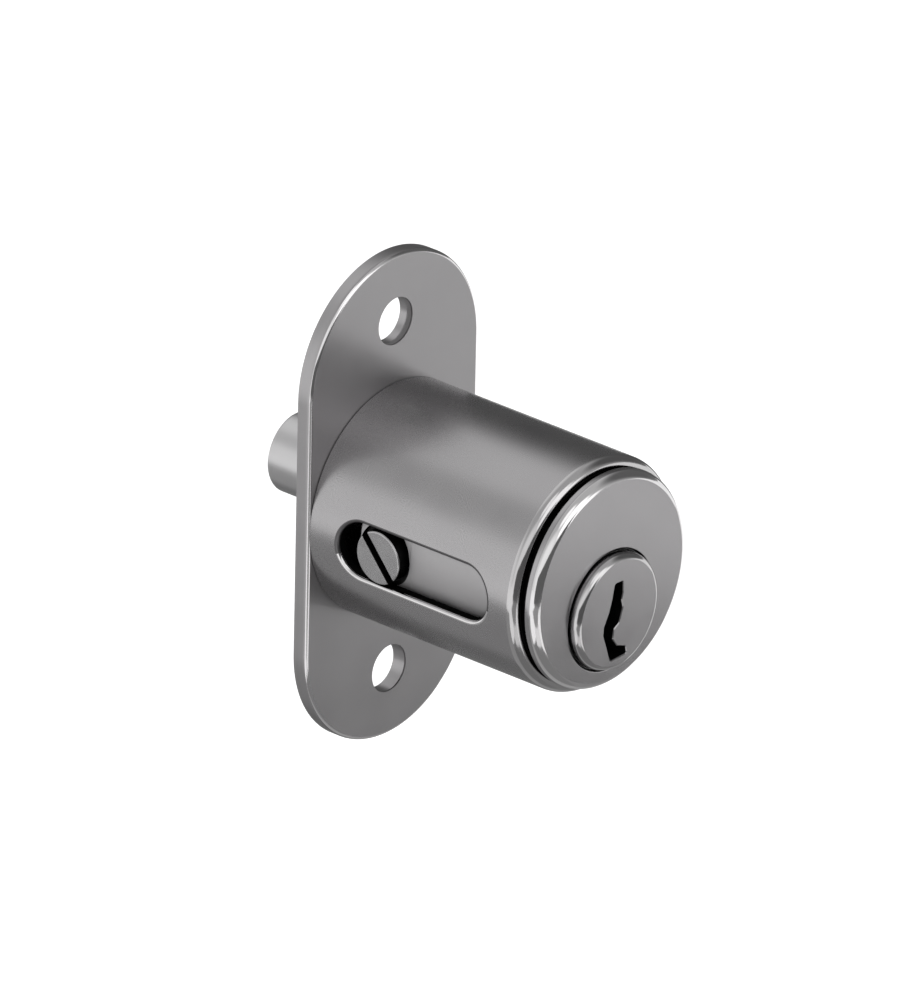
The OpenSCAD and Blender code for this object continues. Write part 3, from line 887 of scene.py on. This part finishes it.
# The bore takes the third finish, painted shade, from its lead-in back to the rear wall.
def housing_corners():
    """The housing's outline, from the bolt's hole round the outside and back through the bore."""
    corners = [Corner(bolt_bore_r, 0, shift=bolt_centre),
               Corner(spigot_r + stake_flare, 0),
               Corner(spigot_r, stake_flare),
               Corner(spigot_r, plate_front),
               Corner(housing_r, plate_front, foot_round)]
    corners += [Corner(housing_r, row) for row in rows[1:]]
    corners += [Corner(housing_r, rim_forward, rim_round, edge=SIDE, after=SIDE),
                Corner(bore_r + bore_lead, rim_forward, fine_round, edge=SIDE, after=SHADED_CUT),
                Corner(bore_r, rim_forward - bore_lead, after=SHADED_CUT)]
    corners += [Corner(bore_r, row, after=SHADED_CUT) for row in reversed(rows) if row > rear_seat]
    corners += [Corner(bore_r, rear_seat), Corner(bolt_bore_r, rear_seat, shift=bolt_centre)]
    return corners


def build_housing():
    """The tube's skin with its two openings."""
    points, faces, finish = turned_surface(housing_corners(), housing_sides, closed=True)
    points = [tuple(p) for p in points]
    centres = [np.mean([points[i] for i in face], axis=0) for face in faces]
    kept = [i for i, centre in enumerate(centres) if not in_opening(centre)]
    faces = [faces[i] for i in kept]
    finish = [finish[i] for i in kept]
    for opening in openings:
        more_points, more_faces, more_finish = opening_surface(opening)
        start = len(points)
        points += more_points
        faces += [tuple(start + i for i in face) for face in more_faces]
        finish += more_finish
    return make_piece("housing", (points, faces, finish))


dress(build_housing(), "housing", "housing_nickel", ["housing_tube"],
      "satin_nickel", "polished_nickel", "painted_shade", "rim_nickel", "painted_lip_shade")

# %% [markdown]
# The button
#
# Head and barrel are one turned piece. Its outline starts outside, goes over the polished
# edge and the flat face, and comes back through the off-centre bore of the key plug. The pin
# chambers and the slot of their cover are then cut out, because they don't follow the lathe.

# %% Build the button
slip = 0.05 * MM                         # play round a part that moves
fixed_fit = 0.02 * MM                    # and round one that stays put
button_edge = 1.0 * MM
groove_start = rim_forward - 0.5 * MM    # rear end of the shallow groove under the head, painted nearly black as shade
undercut = 0.12 * MM
plug_seat_r = plug_head_r + slip
recess_r = plug_seat_r + 0.2 * MM
recess_floor = button_face - 0.35 * MM
plug_bore_r = plug_r + slip
clip_recess_r = 6.1 * MM
clip_seat = 13.4 * MM
stop_reach = 5.65 * MM
stop_front = 14.5 * MM
stop_swing = math.radians(45 + 6.4)


# The groove and the underside of the head, the recess round the plug and the slot of the chamber
# cover take the third finish, which is painted shade.
def barrel_corners():
    """The barrel's outline, closed through the plug's bore."""
    return [Corner(plunger_r, joint, after=SIDE),
            Corner(plunger_r, groove_start, after=SHADED_CUT),
            Corner(plunger_r - undercut, groove_start + undercut, after=SHADED_CUT),
            Corner(plunger_r - undercut, head_under, after=SHADED_CUT),
            Corner(button_r, head_under, soft_round),
            *crisp_round(button_r, button_face, button_edge),
            *raised(plug_centre, [
                Corner(recess_r + 0.2 * MM, button_face),
                Corner(recess_r, button_face, fine_round, edge=EDGE, after=SHADED_CUT),
                Corner(recess_r, recess_floor, after=SHADED_CUT),
                Corner(plug_seat_r, recess_floor, fine_round, after=SHADED_CUT),
                Corner(plug_seat_r, plug_head_under - slip),
                Corner(plug_bore_r, plug_head_under - slip),
                Corner(plug_bore_r, clip_seat),
                Corner(clip_recess_r, clip_seat),
                Corner(clip_recess_r, joint)])]


def stop_groove_cutter():
    """The part ring that the plug's stop pin swings in."""
    steps = 24
    inner, outer = plug_r - 1 * MM, stop_reach
    section = ((inner, joint), (outer, joint), (outer, stop_front), (inner, stop_front))
    points = []
    for step in range(steps + 1):
        a = -stop_swing + 2 * stop_swing * step / steps
        points += [(radius * math.cos(a), -forward, plug_centre + radius * math.sin(a))
                   for radius, forward in section]
    faces = skin_faces(steps + 1, 4) + [(0, 1, 2, 3), tuple(range(4 * steps, 4 * steps + 4))]
    return make_piece("groove", (points, faces, [BODY] * len(faces)))


def chamber_cutters():
    """Five pin chambers from the plug's bore up through the barrel."""
    return [rod_cutter(chamber_r, 0, housing_r, moved(0, place, plug_centre) @ POINT_UP)
            for place in pin_places]


carrier_screw_low, carrier_screw_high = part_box("carrier_screws")
carrier_screw_r = 0.8 * MM
carrier_screw_head_r = 1.3 * MM
carrier_screw_x = carrier_screw_high.x - carrier_screw_head_r
carrier_screw_z = (carrier_screw_low.z + carrier_screw_high.z) / 2
carrier_screw_tip = -carrier_screw_low.y
carrier_rear = -carrier_high.y


def carrier_screw_holes(radius, start, end):
    """A pair of holes for the screws that join barrel and carrier."""
    return [rod_cutter(radius, start, end, moved(x, 0, carrier_screw_z), sides=32)
            for x in (-carrier_screw_x, carrier_screw_x)]


def build_barrel():
    """The button with its chambers, cover slot, stop groove and screw holes."""
    piece = turned("button", barrel_corners(), sides=256, closed=True)
    cover_slot = box_cutter((cover_low.x - slip, cover_low.y - slip, cover_low.z - fixed_fit),
                            (cover_high.x + slip, cover_high.y + slip, housing_r), SHADED_CUT)
    holes = carrier_screw_holes(carrier_screw_r + fixed_fit, joint - MM,
                                carrier_screw_tip + fixed_fit)
    cut(piece, cover_slot, stop_groove_cutter(), *holes, *chamber_cutters())
    return piece


dress(build_barrel(), "button", "button_nickel", ["plunger_barrel"],
      "button_nickel", "polished_nickel", "painted_shade", "turned_side")

# %% [markdown]
# The key plug
#
# The plug is turned too, with a polished rounded front edge. Its keyway is a crooked slot. The
# cutter is the keyway's outline swept along the plug, and it widens just at the front, which
# leaves the small bevel that guides a key in.

# %% Build the key plug
plug_edge = 0.7 * MM
clip_groove = 0.6 * MM
pin_foot = 0.1 * MM
keyway_bevel = 0.08 * MM
keyway_points = [(-0.55, 2.95, 0.2), (0.55, 2.95, 0.2), (0.55, 1.9, 0.2), (0.35, 1.2, 0.2),
                 (0.55, 0.4, 0.3), (0.05, -1.0, 0.3), (-0.6, -1.4, 0.25), (-0.75, -2.3, 0.3),
                 (-0.1, -3.2, 0.3), (1.05, -3.6, 0.15), (1.15, -4.3, 0.15), (-1.0, -4.4, 0.3),
                 (-1.35, -3.3, 0.5), (-1.95, -1.6, 0.3), (-1.9, -0.8, 0.3), (-1.25, 0.4, 0.4),
                 (-0.85, 1.6, 0.5)]


def keyway_loop():
    """The keyway's outline in metres from the plug's centre, with its corners rounded."""
    corners = [Corner(x * MM, z * MM, r * MM) for x, z, r in keyway_points]
    return np.array([point[:2] for point in trace(corners, False)])


def widened(loop, margin):
    """The loop moved outwards by a margin, point by point."""
    ahead = np.roll(loop, -1, axis=0) - loop
    behind = loop - np.roll(loop, 1, axis=0)
    ahead = ahead / np.linalg.norm(ahead, axis=1)[:, None]
    along = ahead + behind / np.linalg.norm(behind, axis=1)[:, None]
    along = along / np.linalg.norm(along, axis=1)[:, None]
    outwards = np.column_stack((along[:, 1], -along[:, 0]))
    centred = loop - loop.mean(axis=0)
    turning = np.sum(centred[:, 0] * np.roll(centred, -1, axis=0)[:, 1]
                     - centred[:, 1] * np.roll(centred, -1, axis=0)[:, 0])
    return loop + outwards * margin * (1 if turning > 0 else -1)


def keyway_cutter():
    """The keyway as a rod that widens at the plug's front."""
    loop = keyway_loop()
    count = len(loop)
    stations = [(keyway_end, 0.0), (plug_front - keyway_bevel, 0.0), (plug_front, keyway_bevel),
                (plug_front + keyway_bevel, 2 * keyway_bevel)]
    points = [(x, -forward, plug_centre + z)
              for forward, margin in stations for x, z in widened(loop, margin)]
    faces = skin_faces(len(stations), count)
    # The keyway's walls and ends take painted shade; its bevel at the front keeps the plug's nickel.
    finish = [SHADED_CUT] * count + [BODY] * (len(faces) - count) + [SHADED_CUT, SHADED_CUT]
    faces += [tuple(range(count)), tuple(range(len(points) - count, len(points)))]
    return make_piece("keyway", (points, faces, finish))


def plug_corners():
    """The plug's outline from the middle of its rear end to the middle of its face."""
    groove_r = plug_r - clip_groove
    groove_rear = -clip_high.y - slip
    return raised(plug_centre, [
        Corner(0, plug_rear), Corner(plug_r, plug_rear, soft_round),
        Corner(plug_r, groove_rear), Corner(groove_r, groove_rear),
        Corner(groove_r, clip_seat), Corner(plug_r, clip_seat),
        Corner(plug_r, plug_head_under), Corner(plug_head_r, plug_head_under, soft_round),
        *crisp_round(plug_head_r, plug_front, plug_edge), Corner(0, plug_front)])


def build_plug():
    """The plug with its keyway and the five holes of the key pins."""
    piece = turned("plug", plug_corners(), sides=192)
    pin_holes = [rod_cutter(chamber_r, plug_centre + pin_foot, 2 * plug_r,
                            moved(0, place, 0) @ POINT_UP, sides=48)
                 for place in pin_places]
    cut(piece, keyway_cutter(), *pin_holes)
    return piece


dress(build_plug(), "plug", "plug_nickel", ["key_plug"],
      "button_nickel", "rim_nickel", "painted_shade")

# %% [markdown]
# The guide screw
#
# A cheese-head screw that stands in the side of the plunger and runs in the housing's slot.
# Its thread is a surface whose radius rises and falls once a pitch while it goes round, so
# the ridge climbs like a real one.

# %% Write the threaded rod
def threaded_surface(radius, start, end, pitch, depth, sides=48, rows_per_pitch=8):
    """Points and faces of a threaded rod from start to end, closed at both ends."""
    count = max(3, round((end - start) / pitch * rows_per_pitch))
    points = [(0, -start, 0)]
    for row in range(count + 1):
        forward = start + (end - start) * row / count
        fade = min(1.0, (forward - start) / pitch, (end - forward) / pitch)
        for side in range(sides):
            phase = (forward / pitch - side / sides) % 1.0
            valley = depth * (1 - abs(2 * phase - 1)) * max(fade, 0.0)
            r = radius - valley - depth * 0.5 * (1 - max(fade, 0.0))
            angle = math.tau * side / sides
            points.append((r * math.cos(angle), -forward, r * math.sin(angle)))
    points.append((0, -end, 0))
    last = len(points) - 1
    faces = []
    for side in range(sides):
        following = (side + 1) % sides
        faces.append((0, 1 + side, 1 + following))
        faces.append((last, last - sides + following, last - sides + side))
        for row in range(count):
            first = 1 + row * sides
            faces.append((first + side, first + following,
                          first + sides + following, first + sides + side))
    return points, faces, [BODY] * len(faces)


def join(name, *pieces):
    """Several pieces as one mesh object."""
    shape = bmesh.new()
    for piece in pieces:
        shape.from_mesh(piece.data)
        bpy.data.objects.remove(piece)
    return add_object(name, mesh_from(shape, name))


# %% Build the guide screw
screw_thread_r = 1.5 * MM
screw_bevel = 0.15 * MM
driver_slot = 0.8 * MM
driver_slot_depth = 0.75 * MM
driver_slot_lean = math.radians(40)
screw_top = -screw_low.x
screw_under = spot_floor + fixed_fit
screw_tip = -screw_high.x
screw_root = screw_under - 0.1 * MM      # where head and thread meet


def build_guide_screw():
    """Head and thread of the guide screw, pointing out of the slot."""
    place = moved(0, screw_forward, 0) @ POINT_LEFT
    # The head's underside, its side and the driver slot take painted shade; the top and its bevel
    # keep the steel.
    head = turned("head", [Corner(0, screw_root), Corner(screw_thread_r, screw_root),
                           Corner(screw_thread_r, screw_under, after=SHADED_CUT),
                           Corner(screw_head_r, screw_under, 0.08 * MM, edge=SHADED_CUT, after=SHADED_CUT),
                           Corner(screw_head_r, screw_top, screw_bevel), Corner(0, screw_top)],
                  sides=128, place=place)
    lean = Matrix.Rotation(-driver_slot_lean, 4, "X")
    groove = box_cutter((-screw_top - MM, -driver_slot / 2, -2 * screw_head_r),
                        (-screw_top + driver_slot_depth, driver_slot / 2, 2 * screw_head_r), SHADED_CUT)
    groove.data.transform(moved(0, screw_forward, 0) @ lean)
    cut(head, groove)
    thread = threaded_surface(screw_thread_r, screw_tip, screw_under,
                              pitch=0.5 * MM, depth=0.22 * MM)
    return join("guide_screw_piece", head, make_piece("thread", thread, place))


dress(build_guide_screw(), "button", "screw_steel", ["guide_screw"],
      "screw_steel", "polished_nickel", "painted_shade")

# %% [markdown]
# The bolt and the carrier
#
# The bolt is a plain turned pin with a soft tip. The carrier is the rear half of the plunger:
# a turned block with a spring pocket, a channel for the latch, the spot face under the guide
# screw and two counterbored screw holes.

# %% Build the locking bolt
bolt_tip_round = 0.4 * MM
bolt_relief = 0.05 * MM
relief_start = -0.3 * MM
pocket_floor = 8.7 * MM
neck_r = 0.6 * bolt_r
neck_flare = 0.6 * MM
channel_floor = 10.5 * MM


def bolt_corners():
    """The bolt's outline from the middle of its tip to the middle of its riveted end."""
    shank_r = bolt_r - bolt_relief
    return raised(bolt_centre, [
        Corner(0, -bolt_high.y), Corner(bolt_r, -bolt_high.y, bolt_tip_round),
        Corner(bolt_r, relief_start), Corner(shank_r, relief_start),
        Corner(shank_r, pocket_floor - fixed_fit), Corner(neck_r, pocket_floor - fixed_fit),
        Corner(neck_r, channel_floor - neck_flare),
        Corner(neck_r + neck_flare - fixed_fit, -bolt_low.y, fine_round), Corner(0, -bolt_low.y)])


dress(turned("bolt", bolt_corners(), sides=160), "button", "bolt_steel", ["locking_bolt"],
      "bolt_nickel")

# %% Build the carrier
spot_face_r = 2.95 * MM
shaded_spot = 1                            # the spot face gets the carrier's second finish, which is painted shade
pocket_r = 5.9 * MM
carrier_front = -carrier_low.y
nose_half = 2.25 * MM                    # half the width of the latch's nose
latch_shoulder = -8.566 * MM
latch_room = 1.9 * MM                    # how far the latch can rise
spring_room = 0.3 * MM
tip_room = 0.3 * MM                      # behind the guide screw's tip
carrier_round = 0.2 * MM
pocket_round = 0.15 * MM
counterbore = 1.1 * MM                   # depth for the heads of the two joining screws
latch_low, latch_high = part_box("latch_slider")
latch_spring_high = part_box("latch_spring")[1]


def carrier_corners():
    """The carrier's outline, closed through the pocket and the bolt's hole."""
    hole = neck_r + fixed_fit
    return [Corner(plunger_r, carrier_rear, carrier_round), Corner(plunger_r, carrier_front),
            *raised(bolt_centre, [
                Corner(hole, carrier_front), Corner(hole, channel_floor),
                Corner(hole + neck_flare, channel_floor), Corner(hole, channel_floor - neck_flare),
                Corner(hole, pocket_floor), Corner(pocket_r, pocket_floor, pocket_round),
                Corner(pocket_r, carrier_rear, pocket_round)])]


def channel_cutters():
    """Three blocks: the latch's body, its nose and its spring."""
    top = latch_high.z + latch_room
    spring_half = latch_spring_high.x + spring_room
    front = -joint - MM
    rear = -channel_floor
    return [box_cutter((latch_low.x - slip, front, latch_shoulder), (latch_high.x + slip, rear, top)),
            box_cutter((-nose_half, front, -housing_r), (nose_half, rear, 0)),
            box_cutter((-spring_half, front, 0), (spring_half, rear, latch_spring_high.z))]


def build_carrier():
    """The carrier with its cuts."""
    piece = turned("carrier", carrier_corners(), sides=192, closed=True)
    left = moved(0, screw_forward, 0) @ POINT_LEFT
    spot = rod_cutter(spot_face_r, spot_floor, housing_r, left, sides=96, finish=shaded_spot)
    screw_hole = rod_cutter(screw_thread_r + fixed_fit, screw_tip - tip_room, housing_r, left,
                            sides=48)
    rear = carrier_rear - MM
    bores = carrier_screw_holes(carrier_screw_head_r + slip, rear, carrier_rear + counterbore)
    shanks = carrier_screw_holes(carrier_screw_r + fixed_fit, rear, joint + MM)
    cut(piece, *channel_cutters(), spot, screw_hole, *bores, *shanks)
    return piece


dress(build_carrier(), "button", "zinc", ["plunger_carrier"], "turned_side", "painted_shade")

# %% Build the two screws that join the halves
def build_carrier_screw(x):
    """One slotted screw, its head towards the rear."""
    under = carrier_rear + counterbore - fixed_fit
    place = moved(x, 0, carrier_screw_z)
    head = turned("head", [Corner(0, carrier_rear),
                           Corner(carrier_screw_head_r, carrier_rear, screw_bevel),
                           Corner(carrier_screw_head_r, under, fine_round),
                           Corner(carrier_screw_r * 0.9, under), Corner(0, under + 0.1 * MM)],
                  sides=64, place=place)
    half, depth, reach = 0.2 * MM, 0.5 * MM, 2 * carrier_screw_head_r
    groove = box_cutter((x - reach, -carrier_rear - depth, carrier_screw_z - half),
                        (x + reach, -carrier_rear + MM, carrier_screw_z + half))
    cut(head, groove)
    thread = threaded_surface(carrier_screw_r, under, carrier_screw_tip,
                              pitch=0.35 * MM, depth=0.14 * MM, sides=24, rows_per_pitch=6)
    return join("screw", head, make_piece("thread", thread, place))


screw_pair = [build_carrier_screw(x) for x in (-carrier_screw_x, carrier_screw_x)]
dress(join("carrier_screw_pair", *screw_pair), "button", "screw_steel", ["carrier_screws"],
      "screw_steel")

# %% [markdown]
# The tumbler pins
#
# Ten small turned pins. The key pins have a cone that rides on the key, and the drivers a
# broken edge. Each takes its length and place from its own node, so every key cut is right.

# %% Turn the pins
cone_tip = 0.35                          # radius at the cone's end, as a share of the pin's
cone_height = 0.5 * MM
driver_bevel = 0.2 * MM
driver_round = 0.12 * MM


def key_pin_outline(radius, length):
    """A pin with a cone at the bottom."""
    return [Corner(0, 0), Corner(cone_tip * radius, 0, soft_round),
            Corner(radius, cone_height, soft_round),
            Corner(radius, length, fine_round), Corner(0, length)]


def driver_outline(radius, length):
    """A pin with both edges broken."""
    return [Corner(0, 0), Corner(radius - driver_bevel, 0), Corner(radius, driver_bevel),
            Corner(radius, length, driver_round), Corner(0, length)]


def fit_pin(name, node, body, outline):
    """Turns one pin to its node's size and puts it in its chamber."""
    low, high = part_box(node)
    corners = outline((high.x - low.x) / 2, high.z - low.z)
    place = moved(0, -(low.y + high.y) / 2, low.z) @ POINT_UP
    dress(turned(name, corners, sides=48, place=place), body, "brass", [node], "turned_brass")


for number in range(1, 6):
    fit_pin(f"tumbler_key_pin_{number}", f"key_pin_{number}", f"key_pin_{number}", key_pin_outline)
    fit_pin(f"tumbler_driver_{number}", f"driver_pin_{number}", f"driver_{number}", driver_outline)

# %% [markdown]
# The springs
#
# Seven compression springs differ only in size, so one Geometry Nodes tree makes them all. A
# Spiral gives the turns, and a change of height presses the first and last turn together as
# a spring maker does. Curve to Mesh adds the wire, and the ends are ground flat by holding
# every point between the two end planes.

# %% Grow the spring tree
SPRING_SIZES = {"Turns": 5.0, "Radius": MM, "Wire": 0.1 * MM, "Length": 5 * MM, "Closed": 1.0}
WIRE_STEP = 2.04                         # rise of a closed turn, in wire radii


def spring_heights(tree, inputs):
    """Height of each point of the spiral: slow in the closed end turns, steady between."""
    share = add_node(tree, "GeometryNodeSplineParameter").outputs["Factor"]
    closed_share = math_node(tree, "DIVIDE", inputs["Closed"], inputs["Turns"])
    rise = math_node(tree, "MULTIPLY", inputs["Closed"],
                     math_node(tree, "MULTIPLY", inputs["Wire"], WIRE_STEP))
    open_length = math_node(tree, "SUBTRACT", inputs["Length"],
                            math_node(tree, "MULTIPLY", rise, 2.0))
    open_share = math_node(tree, "SUBTRACT", 1.0, math_node(tree, "MULTIPLY", closed_share, 2.0))
    height = None
    start = 0.0
    for span, lift in ((closed_share, rise), (open_share, open_length), (closed_share, rise)):
        past = math_node(tree, "SUBTRACT", share, start)
        part = math_node(tree, "MINIMUM", math_node(tree, "MAXIMUM", past, 0.0), span)
        step = math_node(tree, "MULTIPLY", math_node(tree, "DIVIDE", part, span), lift)
        height = step if height is None else math_node(tree, "ADD", height, step)
        start = span if start == 0.0 else math_node(tree, "ADD", start, span)
    return height


def set_height(tree, geometry, height):
    """Gives each point a new height and keeps its place in plan."""
    position = add_node(tree, "GeometryNodeInputPosition")
    parts = add_node(tree, "ShaderNodeSeparateXYZ", {0: position.outputs[0]}).outputs
    whole = add_node(tree, "ShaderNodeCombineXYZ",
                     {"X": parts["X"], "Y": parts["Y"], "Z": height(parts["Z"])})
    placed = add_node(tree, "GeometryNodeSetPosition",
                      {"Geometry": geometry, "Position": whole.outputs[0]})
    return placed.outputs["Geometry"]


def spring_tree():
    """The node tree of a compression spring along Z."""
    tree = bpy.data.node_groups.new("compression_spring", "GeometryNodeTree")
    for name, value in SPRING_SIZES.items():
        socket = tree.interface.new_socket(name, in_out="INPUT", socket_type="NodeSocketFloat")
        socket.default_value = value
    tree.interface.new_socket("Metal", in_out="INPUT", socket_type="NodeSocketMaterial")
    tree.interface.new_socket("Geometry", in_out="OUTPUT", socket_type="NodeSocketGeometry")
    inputs = add_node(tree, "NodeGroupInput").outputs
    spiral = add_node(tree, "GeometryNodeCurveSpiral",
                      {"Resolution": 40, "Height": MM, "Rotations": inputs["Turns"],
                       "Start Radius": inputs["Radius"], "End Radius": inputs["Radius"]})
    heights = spring_heights(tree, inputs)
    path = set_height(tree, spiral.outputs["Curve"], lambda z: heights)
    wire = add_node(tree, "GeometryNodeCurvePrimitiveCircle",
                    {"Resolution": 12, "Radius": inputs["Wire"]})
    swept = add_node(tree, "GeometryNodeCurveToMesh",
                     {"Fill Caps": True, "Curve": path, "Profile Curve": wire.outputs["Curve"]})
    ground = set_height(tree, swept.outputs["Mesh"], lambda z: math_node(
        tree, "MINIMUM", math_node(tree, "MAXIMUM", z, 0.0), inputs["Length"]))
    paint = add_node(tree, "GeometryNodeSetMaterial",
                     {"Geometry": ground, "Material": inputs["Metal"]})
    realize = add_node(tree, "GeometryNodeRealizeInstances",
                       {"Geometry": paint.outputs["Geometry"]})
    add_node(tree, "NodeGroupOutput", {"Geometry": realize.outputs["Geometry"]})
    return tree


# %% Wind the springs
Spring = namedtuple("Spring", "name node turns wire axis bodies")
springs = [
    Spring("return_coil", "return_spring", 5.5, 0.35 * MM, "y", ("housing", "button")),
    Spring("latch_coil", "latch_spring", 7.0, 0.15 * MM, "z", ("latch", "button")),
]
for number in range(1, 6):
    springs.append(Spring(f"pin_coil_{number}", f"pin_spring_{number}", 7.0, 0.125 * MM, "z",
                          (f"driver_{number}", "button")))
coil_tree = spring_tree()


def fit_spring(spring):
    """Winds a spring as a plain mesh as long as its node and puts it in the node's place."""
    low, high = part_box(spring.node)
    centre = (low + high) / 2
    if spring.axis == "y":
        length = high.y - low.y
        start, end = (centre.x, high.y, centre.z), (centre.x, low.y, centre.z)
        turn = Matrix.Rotation(math.pi / 2, 4, "X")
    else:
        length = high.z - low.z
        start, end = (centre.x, centre.y, low.z), (centre.x, centre.y, high.z)
        turn = Matrix.Identity(4)
    piece = add_object(spring.name, bpy.data.meshes.new(spring.name))
    modifier = piece.modifiers.new("Spring", "NODES")
    modifier.node_group = coil_tree
    values = {**SPRING_SIZES, "Turns": spring.turns, "Radius": (high.x - low.x) / 2 - spring.wire,
              "Wire": spring.wire, "Length": length, "Metal": materials["spring_steel"]}
    for item in coil_tree.interface.items_tree:
        if item.in_out == "INPUT":
            modifier[item.identifier] = values[item.name]
    settle(piece)
    piece.data.transform(Matrix.Translation(start) @ turn)
    piece.data.shade_smooth()
    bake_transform(piece)
    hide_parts(spring.node)
    print(spring.name, len(piece.data.polygons), "faces")


for spring in springs:
    fit_spring(spring)

# %% [markdown]
# The small parts from the CAD model
#
# The latch, the clip, the cover strip and two pins already have their real shape in the
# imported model. They keep it and only get their metal.

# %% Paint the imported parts
kept = {"latch_slider": ("turned_brass", "brass"), "plug_clip": ("spring_steel", "spring_steel"),
        "drive_pin": ("ground_steel", "pin_steel"), "stop_pin": ("ground_steel", "pin_steel"),
        "chamber_cover": ("zinc_casting", "zinc")}
for node, (finish, slot) in kept.items():
    nodes[node].data.materials.clear()
    nodes[node].data.materials.append(materials[finish])
print("painted", ", ".join(kept))
